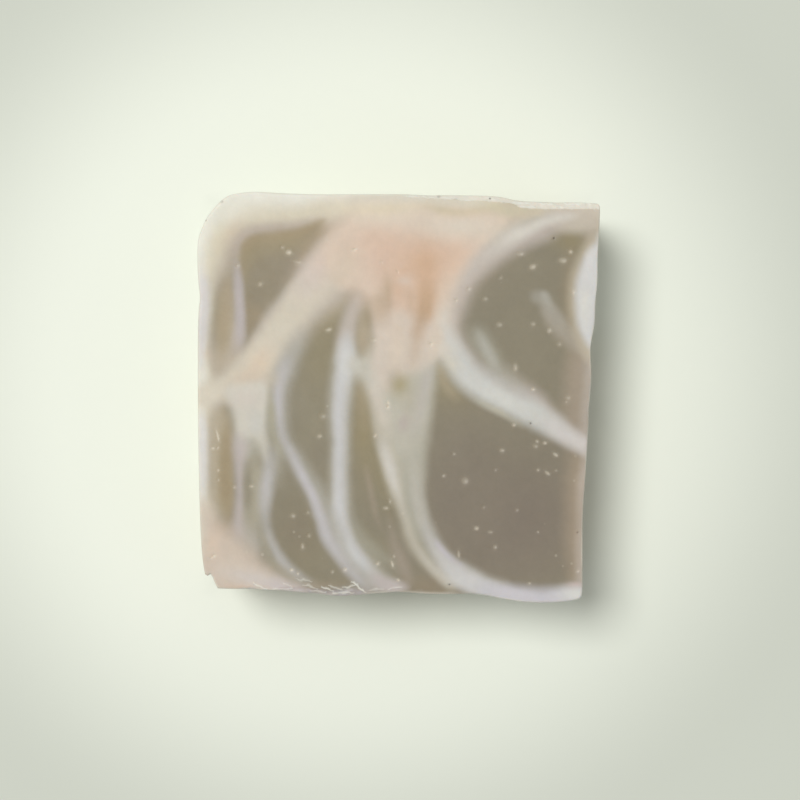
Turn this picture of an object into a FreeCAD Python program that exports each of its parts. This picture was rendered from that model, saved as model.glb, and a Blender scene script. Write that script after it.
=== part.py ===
import FreeCAD, Part
import Sketcher
import os

# A square, hand-cut bar of swirled soap. One solid piece, lying on one of its two cut faces.
# The outline is the loaf's cross-section: a soft outer corner at -X +Y, a nearly straight -X side,
# a torn +Y edge, a wavy +X side that leans in towards -Y, a wavy -Y side and a broken corner at
# -X -Y. The bar is a straight slice of the loaf, so its walls stand square to the cut faces.
# Frame: origin at the middle of the resting face, +Z up through the slice, +Y the longest side.
# Millimetres.

doc = FreeCAD.newDocument("soap_bar")
sheet = doc.addObject("Spreadsheet::Sheet", "dims")
_row = [1]


def cell(alias, value, note=""):
    """One driving dimension: its name, its value and what it is."""
    r = _row[0]
    sheet.set("A%d" % r, alias)
    sheet.set("B%d" % r, "%.4f" % value)
    sheet.set("C%d" % r, note)
    sheet.setAlias("B%d" % r, alias)
    _row[0] += 1
    return float("%.4f" % value)


# main sizes
THICK = cell("slice_thickness", 25.0, "distance between the two cut faces")
EDGE_TOP = cell("top_edge_radius", 0.3, "softened rim of the upper cut face")
EDGE_BOTTOM = cell("bottom_edge_chamfer", 0.3, "softened rim of the resting face")
CORNER = cell("sharp_corner_radius", 0.8, "the +X +Y corner")

# torn bevel along the +Y rim, at its +X end: where it starts and ends, how far it reaches in and down
cell("torn_rim_start", 21.6)
cell("torn_rim_span", 14.2)
cell("torn_rim_inner_y", 34.05)
cell("torn_rim_outer_y", 36.4)
cell("torn_rim_drop", 1.05)
# shallower tear beside it
cell("tear_two_start", 8.2)
cell("tear_two_span", 12.4)
cell("tear_two_inner_y", 34.85)
cell("tear_two_outer_y", 37.0)
cell("tear_two_drop", 0.8)
# chipped facet on the -Y rim, at its -X end
cell("chip_start", -30.6)
cell("chip_span", 4.6)
cell("chip_inner_y", -33.75)
cell("chip_outer_y", -35.4)
cell("chip_drop", 1.3)
# crumbled stretch in the middle of the -Y rim
cell("crumble_start", -15.8)
cell("crumble_span", 9.2)
cell("crumble_inner_y", -34.7)
cell("crumble_outer_y", -36.6)
cell("crumble_drop", 0.9)

# Control points of the outline, (x, y), clockwise seen from above.
# From the broken corner up the -X side, round the soft corner and along the +Y side:
LEFT_TOP = [
    (-34.87, -31.93), (-35.26, -30.38), (-35.62, -26.6), (-35.83, -21.56), (-36.02, -15.26), (-36.1, -8.96),
    (-36.18, -4.46), (-36.21, 2.74), (-36.23, 10.84), (-36.13, 15.88), (-35.73, 18.04), (-36.09, 20.2),
    (-36.27, 23.62), (-36.31, 27.04), (-36.02, 29.2), (-35.32, 30.82), (-34.65, 32.44), (-33.43, 34.01),
    (-32.06, 35.47), (-30.73, 36.4), (-29.11, 36.73), (-26.41, 37.14), (-22.27, 36.83), (-15.97, 36.55),
    (-8.77, 36.6), (-0.13, 36.62), (2.39, 36.56), (5.99, 36.36), (7.61, 36.46), (11.39, 36.42),
    (14.99, 36.39), (18.95, 36.2), (20.75, 35.36), (26.33, 35.27), (29.03, 35.07), (32.27, 35.25), (36.3, 34.93),
]
# From the +X +Y corner down the wavy +X side and back along the -Y side to the broken corner:
RIGHT_BOTTOM = [
    (36.3, 34.93), (36.24, 32.98), (36.14, 29.56), (35.95, 27.04), (35.84, 24.34), (35.84, 19.84),
    (35.42, 17.5), (35.46, 14.98), (35.31, 12.64), (34.72, 10.3), (34.45, 8.14), (34.76, 4.9),
    (34.68, 1.3), (34.2, -1.76), (34.28, -4.46), (33.97, -8.78), (33.74, -13.46), (33.36, -18.14),
    (33.13, -22.1), (33.1, -28.58), (33.15, -33.62), (33.12, -36.06), (32.2, -36.52), (29.39, -36.94),
    (26.51, -37.04), (23.63, -37.02), (20.57, -36.61), (17.69, -36.12), (14.63, -35.45), (11.39, -35.4),
    (5.99, -35.55), (0.95, -35.02), (-2.29, -35.2), (-5.71, -35.45), (-8.77, -35.85), (-12.01, -35.89),
    (-14.53, -35.35), (-17.77, -35.2), (-21.37, -34.77), (-24.61, -34.73), (-26.41, -34.45), (-29.65, -34.59),
    (-32.6, -34.45),
]
# The broken corner's facets, back to the start:
BROKEN = [(-32.6, -34.45), (-33.14, -33.44), (-33.47, -32.61), (-33.93, -31.8), (-34.4, -32.18), (-34.87, -31.93)]

for tag, points in (("lt", LEFT_TOP), ("rb", RIGHT_BOTTOM), ("bc", BROKEN)):
    for i, (x, y) in enumerate(points):
        cell("%s_x%02d" % (tag, i), x)
        cell("%s_y%02d" % (tag, i), y)
doc.recompute()

body = doc.addObject("PartDesign::Body", "SoapBar")
body.Label = "soap_bar"
plane = {o.Role: o for o in body.Origin.OriginFeatures}


def sketch_on(name, role, offset=None):
    sk = body.newObject("Sketcher::SketchObject", name)
    sk.AttachmentSupport = (plane[role], [""])
    sk.MapMode = "FlatFace"
    if offset is not None:
        sk.AttachmentOffset = FreeCAD.Placement(FreeCAD.Vector(*offset), FreeCAD.Rotation())
    return sk


def fix_points(sk, fixed):
    """Fixes sketch points, each by two dimensions that follow the sheet: (geometry, point, x, y, x's cell, y's cell, name)."""
    made = sk.addConstraint(
        [
            Sketcher.Constraint(kind, geo, pos, value)
            for geo, pos, x, y, ax, ay, name in fixed
            for kind, value in (("DistanceX", x), ("DistanceY", y))
        ]
    )
    for i, (geo, pos, x, y, ax, ay, name) in enumerate(fixed):
        sk.renameConstraint(made[2 * i], name + "x")
        sk.renameConstraint(made[2 * i + 1], name + "y")
        sk.setExpression("Constraints." + name + "x", "dims." + ax)
        sk.setExpression("Constraints." + name + "y", "dims." + ay)


# The loaf's cross-section
outline = sketch_on("LoafSection", "XY_Plane")


def wave(points, tag):
    """A wavy side: a cubic spline over its control points."""
    curve = Part.BSplineCurve([FreeCAD.Vector(x, y, 0) for x, y in points], None, None, False, 3, None, False)
    g = outline.addGeometry(curve, False)
    rings = [Part.Circle(FreeCAD.Vector(x, y, 0), FreeCAD.Vector(0, 0, 1), 1.0) for x, y in points]
    poles = outline.addGeometry(rings, True)
    outline.addConstraint(
        [Sketcher.Constraint("InternalAlignment:Sketcher::BSplineControlPoint", p, 3, g, i) for i, p in enumerate(poles)]
        + [Sketcher.Constraint("Weight", p, 1.0) for p in poles]
    )
    fix_points(
        outline,
        [
            (p, 3, x, y, "%s_x%02d" % (tag, i), "%s_y%02d" % (tag, i), "%s%02d" % (tag, i))
            for i, (p, (x, y)) in enumerate(zip(poles, points))
        ],
    )
    return g


left_top = wave(LEFT_TOP, "lt")
right_bottom = wave(RIGHT_BOTTOM, "rb")
facets = outline.addGeometry(
    [
        Part.LineSegment(FreeCAD.Vector(xa, ya, 0), FreeCAD.Vector(xb, yb, 0))
        for (xa, ya), (xb, yb) in zip(BROKEN[:-1], BROKEN[1:])
    ],
    False,
)
ends = []
for i, g in enumerate(facets):
    for pos, j in ((1, i), (2, i + 1)):
        x, y = BROKEN[j]
        ends.append((g, pos, x, y, "bc_x%02d" % j, "bc_y%02d" % j, "bc%02d%s" % (i, "se"[pos - 1])))
fix_points(outline, ends)
doc.recompute()
print("section: %d free directions left" % outline.solve() if outline.solve() else "section solved")

# The slice itself
slab = body.newObject("PartDesign::Pad", "Slice")
slab.Profile = outline
slab.setExpression("Length", "dims.slice_thickness")
doc.recompute()


def bulk(shape):
    """Volume in mm3 from a fine mesh, because the exact integral is loose on long wavy walls."""
    points, faces = shape.tessellate(0.02)
    return sum(points[a].dot(points[b].cross(points[c])) for a, b, c in faces) / 6.0


def edges_where(shape, keep):
    return ["Edge%d" % (i + 1) for i, e in enumerate(shape.Edges) if keep(e)]


# The +X +Y corner is the only sharp one that runs the full height
corner = body.newObject("PartDesign::Fillet", "Corner")
corner.Base = (
    slab,
    edges_where(
        slab.Shape,
        lambda e: e.BoundBox.ZLength > 1 and (e.BoundBox.Center - FreeCAD.Vector(36.3, 34.93, THICK / 2)).Length < 0.5,
    ),
)
corner.setExpression("Radius", "dims.sharp_corner_radius")
doc.recompute()

# Softened rims of the two cut faces
last = corner
for name, level, alias in (("TopRim", THICK, "top_edge_radius"), ("BottomRim", 0.0, "bottom_edge_chamfer")):
    rim = body.newObject("PartDesign::Chamfer" if level == 0.0 else "PartDesign::Fillet", name)
    rim.Base = (
        last,
        edges_where(
            last.Shape,
            lambda e: abs(e.BoundBox.ZMin - level) < 1e-6 and abs(e.BoundBox.ZMax - level) < 1e-6,
        ),
    )
    rim.setExpression("Size" if level == 0.0 else "Radius", "dims." + alias)
    doc.recompute()
    print("%-10s %s takes %.2f mm3" % (name, "ok" if rim.isValid() else "FAILED", bulk(last.Shape) - bulk(rim.Shape)))
    last = rim


# Torn and chipped stretches of the upper rim. Each is a wedge cut off the edge: its profile is a
# triangle across the rim, run along X for the length of the tear.
def tear(name, key, inward):
    global last
    inner, outer, drop = (sheet.get("%s_%s" % (key, k)) for k in ("inner_y", "outer_y", "drop"))
    sk = body.newObject("Sketcher::SketchObject", name + "Profile")
    sk.AttachmentSupport = (plane["YZ_Plane"], [""])
    sk.MapMode = "FlatFace"
    sk.setExpression("AttachmentOffset.Base.z", "dims.%s_start" % key)
    over = THICK + 1.0
    corners = [(inner, THICK), (inner, over), (outer, over), (outer, THICK - drop)]
    sides = sk.addGeometry(
        [
            Part.LineSegment(FreeCAD.Vector(xa, ya, 0), FreeCAD.Vector(xb, yb, 0))
            for (xa, ya), (xb, yb) in zip(corners, corners[1:] + corners[:1])
        ],
        False,
    )
    sk.addConstraint([Sketcher.Constraint("Coincident", sides[k], 2, sides[(k + 1) % 4], 1) for k in range(4)])
    sk.addConstraint(
        [
            Sketcher.Constraint("Vertical", sides[0]),
            Sketcher.Constraint("Horizontal", sides[1]),
            Sketcher.Constraint("Vertical", sides[2]),
        ]
    )
    bound = sk.addConstraint(
        [
            Sketcher.Constraint("DistanceX", sides[0], 1, inner),
            Sketcher.Constraint("DistanceY", sides[0], 1, THICK),
            Sketcher.Constraint("DistanceX", sides[2], 1, outer),
            Sketcher.Constraint("DistanceY", sides[2], 1, over),
            Sketcher.Constraint("DistanceY", sides[2], 2, THICK - drop),
        ]
    )
    for c, n, e in zip(
        bound,
        ("innerY", "faceZ", "outerY", "overZ", "footZ"),
        (
            "dims.%s_inner_y" % key,
            "dims.slice_thickness",
            "dims.%s_outer_y" % key,
            "dims.slice_thickness + 1",
            "dims.slice_thickness - dims.%s_drop" % key,
        ),
    ):
        sk.renameConstraint(c, n)
        sk.setExpression("Constraints." + n, e)
    doc.recompute()
    before = bulk(last.Shape)
    cut = body.newObject("PartDesign::Pocket", name)
    cut.Profile = sk
    cut.Reversed = True
    cut.setExpression("Length", "dims.%s_span" % key)
    doc.recompute()
    print("%-10s %s takes %.2f mm3" % (name, "ok" if cut.isValid() else "FAILED", before - bulk(cut.Shape)))
    last = cut


tear("TornRim", "torn_rim", -1)
tear("SecondTear", "tear_two", -1)
tear("Chip", "chip", 1)
tear("Crumble", "crumble", 1)
body.Tip = last
doc.recompute()

# Nothing is written unless every feature and the finished piece are sound
bad = [o.Name for o in doc.Objects if "Invalid" in o.State or "Error" in o.State]
if bad:
    raise SystemExit("failed objects: %s" % bad)
shape = body.Shape
if shape.isNull() or not shape.isValid() or len(shape.Solids) != 1:
    raise SystemExit("%s isn't one sound solid" % body.Label)
box = shape.optimalBoundingBox(False, False)
print(
    "%s: %.2f x %.2f x %.2f mm, x %.3f..%.3f, y %.3f..%.3f, z %.3f..%.3f, %.1f cm3"
    % (
        body.Label, box.XLength, box.YLength, box.ZLength,
        box.XMin, box.XMax, box.YMin, box.YMax, box.ZMin, box.ZMax, bulk(shape) / 1000.0,
    )
)
os.makedirs("parts", exist_ok=True)
shape.exportStep("parts/%s.step" % body.Label)
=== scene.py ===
import math

import bpy
import numpy as np
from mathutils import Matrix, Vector
from mathutils.geometry import delaunay_2d_cdt


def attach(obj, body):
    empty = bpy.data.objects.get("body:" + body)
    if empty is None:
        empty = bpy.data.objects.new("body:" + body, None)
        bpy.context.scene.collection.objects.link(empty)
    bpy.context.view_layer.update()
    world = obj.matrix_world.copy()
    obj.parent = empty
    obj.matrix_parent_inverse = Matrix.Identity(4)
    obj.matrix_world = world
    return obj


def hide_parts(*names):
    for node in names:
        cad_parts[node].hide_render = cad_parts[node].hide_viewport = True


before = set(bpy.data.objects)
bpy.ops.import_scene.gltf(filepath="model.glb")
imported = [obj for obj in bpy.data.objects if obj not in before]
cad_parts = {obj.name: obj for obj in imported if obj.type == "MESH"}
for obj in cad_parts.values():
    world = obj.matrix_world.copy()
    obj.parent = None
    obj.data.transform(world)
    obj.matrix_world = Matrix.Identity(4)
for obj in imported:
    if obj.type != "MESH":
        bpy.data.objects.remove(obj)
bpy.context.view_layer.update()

MM = 0.001
THICK = 25.0                    # thickness of the slice
UNIT = 0.18                     # one picture unit, in millimetres
MIDX, MIDY = 398.726, 397.232   # the picture unit that lies over the origin

# ---- outline of the slice: control points of its two long edges, and the broken corner between them ------
LEFT_TOP = [
    (-34.87, -31.93), (-35.26, -30.38), (-35.62, -26.6), (-35.83, -21.56), (-36.02, -15.26), (-36.1, -8.96),
    (-36.18, -4.46), (-36.21, 2.74), (-36.23, 10.84), (-36.13, 15.88), (-35.73, 18.04), (-36.09, 20.2),
    (-36.27, 23.62), (-36.31, 27.04), (-36.02, 29.2), (-35.32, 30.82), (-34.65, 32.44), (-33.43, 34.01),
    (-32.06, 35.47), (-30.73, 36.4), (-29.11, 36.73), (-26.41, 37.14), (-22.27, 36.83), (-15.97, 36.55),
    (-8.77, 36.6), (-0.13, 36.62), (2.39, 36.56), (5.99, 36.36), (7.61, 36.46), (11.39, 36.42),
    (14.99, 36.39), (18.95, 36.2), (20.75, 35.36), (26.33, 35.27), (29.03, 35.07), (32.27, 35.25), (36.3, 34.93)]
RIGHT_BOTTOM = [
    (36.3, 34.93), (36.24, 32.98), (36.14, 29.56), (35.95, 27.04), (35.84, 24.34), (35.84, 19.84),
    (35.42, 17.5), (35.46, 14.98), (35.31, 12.64), (34.72, 10.3), (34.45, 8.14), (34.76, 4.9),
    (34.68, 1.3), (34.2, -1.76), (34.28, -4.46), (33.97, -8.78), (33.74, -13.46), (33.36, -18.14),
    (33.13, -22.1), (33.1, -28.58), (33.15, -33.62), (33.12, -36.06), (32.2, -36.52), (29.39, -36.94),
    (26.51, -37.04), (23.63, -37.02), (20.57, -36.61), (17.69, -36.12), (14.63, -35.45), (11.39, -35.4),
    (5.99, -35.55), (0.95, -35.02), (-2.29, -35.2), (-5.71, -35.45), (-8.77, -35.85), (-12.01, -35.89),
    (-14.53, -35.35), (-17.77, -35.2), (-21.37, -34.77), (-24.61, -34.73), (-26.41, -34.45), (-29.65, -34.59),
    (-32.6, -34.45)]
BROKEN = [(-32.6, -34.45), (-33.14, -33.44), (-33.47, -32.61), (-33.93, -31.8), (-34.4, -32.18), (-34.87, -31.93)]
SHARP_CORNER = 0.8              # radius of the upper right corner


def edge_curve(poles, count=3000):
    """Points along a clamped cubic B-spline with evenly spaced knots."""
    P = np.array(poles, float)
    k, m = 3, len(P)
    knots = np.concatenate([np.zeros(k), np.linspace(0, 1, m - k + 1), np.ones(k)])
    t = np.linspace(0, 1, count)
    t[-1] -= 1e-12
    N = [((knots[i] <= t) & (t < knots[i + 1])).astype(float) for i in range(len(knots) - 1)]
    for d in range(1, k + 1):
        M = []
        for i in range(len(knots) - d - 1):
            a, b = knots[i + d] - knots[i], knots[i + d + 1] - knots[i + 1]
            M.append((((t - knots[i]) / a) * N[i] if a > 0 else 0) + (((knots[i + d + 1] - t) / b) * N[i + 1] if b > 0 else 0))
        N = M
    out = np.zeros((count, 2))
    for i in range(m):
        out += np.outer(N[i], P[i])
    return out


def rounded_corner(before, after, radius):
    """Takes the end of one run and the start of the next back from their shared corner, and puts an arc between."""
    c = before[-1]
    a = before[np.linalg.norm(before - c, axis=1) > radius][-1] - c
    b = after[np.linalg.norm(after - c, axis=1) > radius][0] - c
    a, b = a / np.linalg.norm(a), b / np.linalg.norm(b)
    half = math.acos(float(a @ b)) / 2
    back = radius / math.tan(half)
    middle = (a + b) / np.linalg.norm(a + b)
    centre = c + middle * radius / math.sin(half)
    before = before[np.linalg.norm(before - c, axis=1) > back]
    after = after[np.linalg.norm(after - c, axis=1) > back]
    u, v = before[-1] - centre, after[0] - centre
    s, e = math.atan2(u[1], u[0]), math.atan2(v[1], v[0])
    turn = (e - s + math.pi) % (2 * math.pi) - math.pi
    arc = [centre + radius * np.array([math.cos(s + turn * k / 8), math.sin(s + turn * k / 8)]) for k in range(1, 8)]
    return np.vstack([before, arc, after])


def resample(line, step):
    """Evenly spaced points along a line, with both of its ends."""
    seg = np.linalg.norm(np.diff(line, axis=0), axis=1)
    s = np.concatenate([[0], np.cumsum(seg)])
    n = max(1, int(round(s[-1] / step)))
    at = np.linspace(0, s[-1], n + 1)
    return np.stack([np.interp(at, s, line[:, i]) for i in (0, 1)], 1)


RING_STEP = 0.38
smooth_run = rounded_corner(edge_curve(LEFT_TOP), edge_curve(RIGHT_BOTTOM), SHARP_CORNER)
LOOP = [resample(smooth_run, RING_STEP)[:-1]]
for a, b in zip(BROKEN[:-1], BROKEN[1:]):
    LOOP.append(resample(np.array([a, b]), 0.3)[:-1])
LOOP = np.vstack(LOOP)          # clockwise, seen from above
NL = len(LOOP)


def signed_area(P):
    x, y = P[:, 0], P[:, 1]
    return 0.5 * float(np.dot(x, np.roll(y, -1)) - np.dot(y, np.roll(x, -1)))


if signed_area(LOOP) < 0:       # anticlockwise from here on
    LOOP = LOOP[::-1].copy()
ARC = np.concatenate([[0], np.cumsum(np.linalg.norm(np.roll(LOOP, -1, 0) - LOOP, axis=1))])
GIRTH = float(ARC[-1])
ARC = ARC[:-1]


def inward(P):
    """Unit vectors that point into the slice, at each point of a closed anticlockwise loop."""
    d = np.roll(P, -1, 0) - np.roll(P, 1, 0)
    n = np.stack([-d[:, 1], d[:, 0]], 1)
    return n / np.linalg.norm(n, axis=1)[:, None]


INWARD = inward(LOOP)


def to_loop(P, loop):
    """Each point's distance to a closed loop, negative outside, and how far round the loop the nearest spot is."""
    A, B = loop, np.roll(loop, -1, 0)
    E = B - A
    L = (E ** 2).sum(1)
    arc = np.concatenate([[0], np.cumsum(np.sqrt(L))])[:-1]
    dist, at, inside = np.empty(len(P)), np.empty(len(P)), np.zeros(len(P), bool)
    for s in range(0, len(P), 4000):
        p = P[s:s + 4000]
        t = (((p[:, None, 0] - A[None, :, 0]) * E[None, :, 0] + (p[:, None, 1] - A[None, :, 1]) * E[None, :, 1]) / L[None]).clip(0, 1)
        dx = p[:, None, 0] - A[None, :, 0] - t * E[None, :, 0]
        dy = p[:, None, 1] - A[None, :, 1] - t * E[None, :, 1]
        d2 = dx * dx + dy * dy
        k = d2.argmin(1)
        r = np.arange(len(p))
        dist[s:s + 4000] = np.sqrt(d2[r, k])
        at[s:s + 4000] = arc[k] + t[r, k] * np.sqrt(L[k])
        y0, y1 = A[None, :, 1], B[None, :, 1]
        py = p[:, None, 1]
        cross = (y0 > py) != (y1 > py)
        safe = np.where(np.abs(y1 - y0) < 1e-12, 1e-12, y1 - y0)
        hit = cross & (p[:, None, 0] < (B[None, :, 0] - A[None, :, 0]) * (py - y0) / safe + A[None, :, 0])
        inside[s:s + 4000] = hit.sum(1) % 2 == 1
    return np.where(inside, dist, -dist), at


def px(x, y):
    """Millimetres, from picture units."""
    return (np.asarray(x, float) - MIDX) * UNIT, (MIDY - np.asarray(y, float)) * UNIT


def units(x, y):
    """Picture units, from millimetres."""
    return np.asarray(x, float) / UNIT + MIDX, MIDY - np.asarray(y, float) / UNIT

BASE_GAIN = 0.97                # palette colours are as seen; this allows for the light
FLOOR_GAIN = 1.0
FILL = 0.395
KEY = 138.0

# ---- marbling: soft veins, patches and clouds, laid one over another ------------------------------------------
# >>> marbling
PALETTE = {                     # sRGB, 0-255
    "olive":   (139, 131, 110),
    "moss":    (150, 138, 102),
    "taupe":   (130, 119, 105),
    "umber":   (169, 148, 115),
    "cream":   (215, 207, 189),
    "milk":    (208, 208, 205),
    "lilac":   (196, 190, 198),
    "blush":   (220, 192, 171),
    "apricot": (208, 170, 136),
    "ash":     (182, 180, 164),
    "wax":     (232, 231, 219),
    "butter":  (224, 213, 182),
}
NAMES = list(PALETTE)
SLOT = {n: i for i, n in enumerate(NAMES)}


def lattice(ix, iy, iz, seed):
    h = (ix * 374761393 + iy * 668265263 + iz * 2147483647 + seed * 1274126177) & 0xFFFFFFFF
    h = ((h ^ (h >> 13)) * 1274126177) & 0xFFFFFFFF
    h = ((h ^ (h >> 16)) * 2246822519) & 0xFFFFFFFF
    return ((h ^ (h >> 15)) & 0xFFFFFF) / float(0xFFFFFF) * 2.0 - 1.0


def noise(x, y, z, scale, seed):
    """Smooth value noise, -1 to 1, with cells of the given size."""
    x, y, z = (np.asarray(a, float) / scale for a in (x, y, z))
    fx, fy, fz = np.floor(x), np.floor(y), np.floor(z)
    ix, iy, iz = fx.astype(np.int64), fy.astype(np.int64), fz.astype(np.int64)
    tx, ty, tz = x - fx, y - fy, z - fz
    tx, ty, tz = (t * t * t * (t * (t * 6 - 15) + 10) for t in (tx, ty, tz))
    out = 0.0
    for dx in (0, 1):
        for dy in (0, 1):
            for dz in (0, 1):
                w = (tx if dx else 1 - tx) * (ty if dy else 1 - ty) * (tz if dz else 1 - tz)
                out = out + w * lattice(ix + dx, iy + dy, iz + dz, seed)
    return out


def smooth(t):
    t = np.clip(t, 0.0, 1.0)
    return t * t * (3 - 2 * t)


def through(rows, closed=False, steps=9):
    """A smooth line through the given rows; every column is interpolated."""
    P = np.array(rows, float)
    n = len(P)
    out = []
    spans = n if closed else n - 1
    for i in range(spans):
        a, b = P[i], P[(i + 1) % n]
        p = P[i - 1] if (closed or i > 0) else 2 * a - b
        q = P[(i + 2) % n] if (closed or i + 2 < n) else 2 * b - a
        for k in range(steps):
            t = k / steps
            out.append(0.5 * ((2 * a) + (b - p) * t + (2 * p - 5 * a + 4 * b - q) * t * t
                              + (3 * a - p - 3 * b + q) * t * t * t))
    if not closed:
        out.append(P[-1])
    return np.array(out)


class Paint:
    """Shares of each colour at every point; a new layer lies over what is there."""

    def __init__(self, X, Y):
        self.X, self.Y = X, Y
        self.W = np.zeros((len(X), len(NAMES)))
        self.W[:, SLOT["olive"]] = 1.0

    def lay(self, idx, cover, colours):
        mix = np.zeros(len(NAMES))
        if isinstance(colours, str):
            colours = {colours: 1.0}
        total = sum(colours.values())
        for name, share in colours.items():
            mix[SLOT[name]] = share / total
        c = cover[:, None]
        self.W[idx] = self.W[idx] * (1 - c) + c * mix

    def near(self, C, reach):
        lo, hi = C[:, :2].min(0) - reach, C[:, :2].max(0) + reach
        return np.nonzero((self.X > lo[0]) & (self.X < hi[0]) & (self.Y > lo[1]) & (self.Y < hi[1]))[0]

    def vein(self, colours, rows, strength=1.0):
        """A soft line. Each row: x, y, half width, softness, strength here. Softness may differ on its two sides:
        a sixth number is the softness on the right-hand side of the way it runs."""
        rows = [list(r) for r in rows]
        rows = [r + [r[3]] if len(r) == 5 else r for r in rows]
        C = through(rows)
        C[:, 2:] = np.clip(C[:, 2:], 0, None)
        reach = (C[:, 2] + np.maximum(C[:, 3], C[:, 5])).max() + 1
        idx = self.near(C, reach)
        if not len(idx):
            return
        x, y = self.X[idx], self.Y[idx]
        best = np.full(len(idx), 1e9)
        col = np.zeros((len(idx), 5))
        for a, b in zip(C[:-1], C[1:]):
            ex, ey = b[0] - a[0], b[1] - a[1]
            L = ex * ex + ey * ey + 1e-12
            t = np.clip(((x - a[0]) * ex + (y - a[1]) * ey) / L, 0, 1)
            dx, dy = x - (a[0] + t * ex), y - (a[1] + t * ey)
            d = dx * dx + dy * dy
            m = d < best
            best[m] = d[m]
            tm = t[m][:, None]
            col[m, :4] = a[2:6] * (1 - tm) + b[2:6] * tm
            col[m, 4] = (ex * dy - ey * dx)[m]
        d = np.sqrt(best)
        soft = np.where(col[:, 4] > 0, col[:, 3], col[:, 1]) + 0.3
        hw = col[:, 0]
        cover = 1 - smooth((d - hw + soft) / (2 * soft))
        # a thin line that is softer than it is wide stays faint
        self.lay(idx, np.clip(cover * col[:, 2] * strength, 0, 1), colours)

    def patch(self, colours, points, soft, strength=1.0):
        """A closed smooth outline, filled, with a soft edge."""
        C = through(points, closed=True)
        idx = self.near(C, soft + 1)
        if not len(idx):
            return
        x, y = self.X[idx], self.Y[idx]
        best = np.full(len(idx), 1e9)
        inside = np.zeros(len(idx), bool)
        for a, b in zip(C, np.roll(C, -1, 0)):
            ex, ey = b[0] - a[0], b[1] - a[1]
            L = ex * ex + ey * ey + 1e-12
            t = np.clip(((x - a[0]) * ex + (y - a[1]) * ey) / L, 0, 1)
            d = (x - a[0] - t * ex) ** 2 + (y - a[1] - t * ey) ** 2
            best = np.minimum(best, d)
            if a[1] != b[1]:
                hit = ((a[1] > y) != (b[1] > y)) & (x < (b[0] - a[0]) * (y - a[1]) / (b[1] - a[1]) + a[0])
                inside ^= hit
        d = np.where(inside, -1, 1) * np.sqrt(best)
        self.lay(idx, strength * (1 - smooth((d + soft) / (2 * soft))), colours)

    def blot(self, colours, x, y, rx, ry, turn=0.0, strength=1.0):
        """A round cloud that fades out from its middle."""
        c, s = np.cos(np.radians(turn)), np.sin(np.radians(turn))
        dx, dy = self.X - x, self.Y - y
        u, v = (dx * c + dy * s) / rx, (dy * c - dx * s) / ry
        r2 = u * u + v * v
        idx = np.nonzero(r2 < 6.0)[0]
        if len(idx):
            self.lay(idx, strength * np.exp(-r2[idx] * 1.1), colours)


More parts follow.
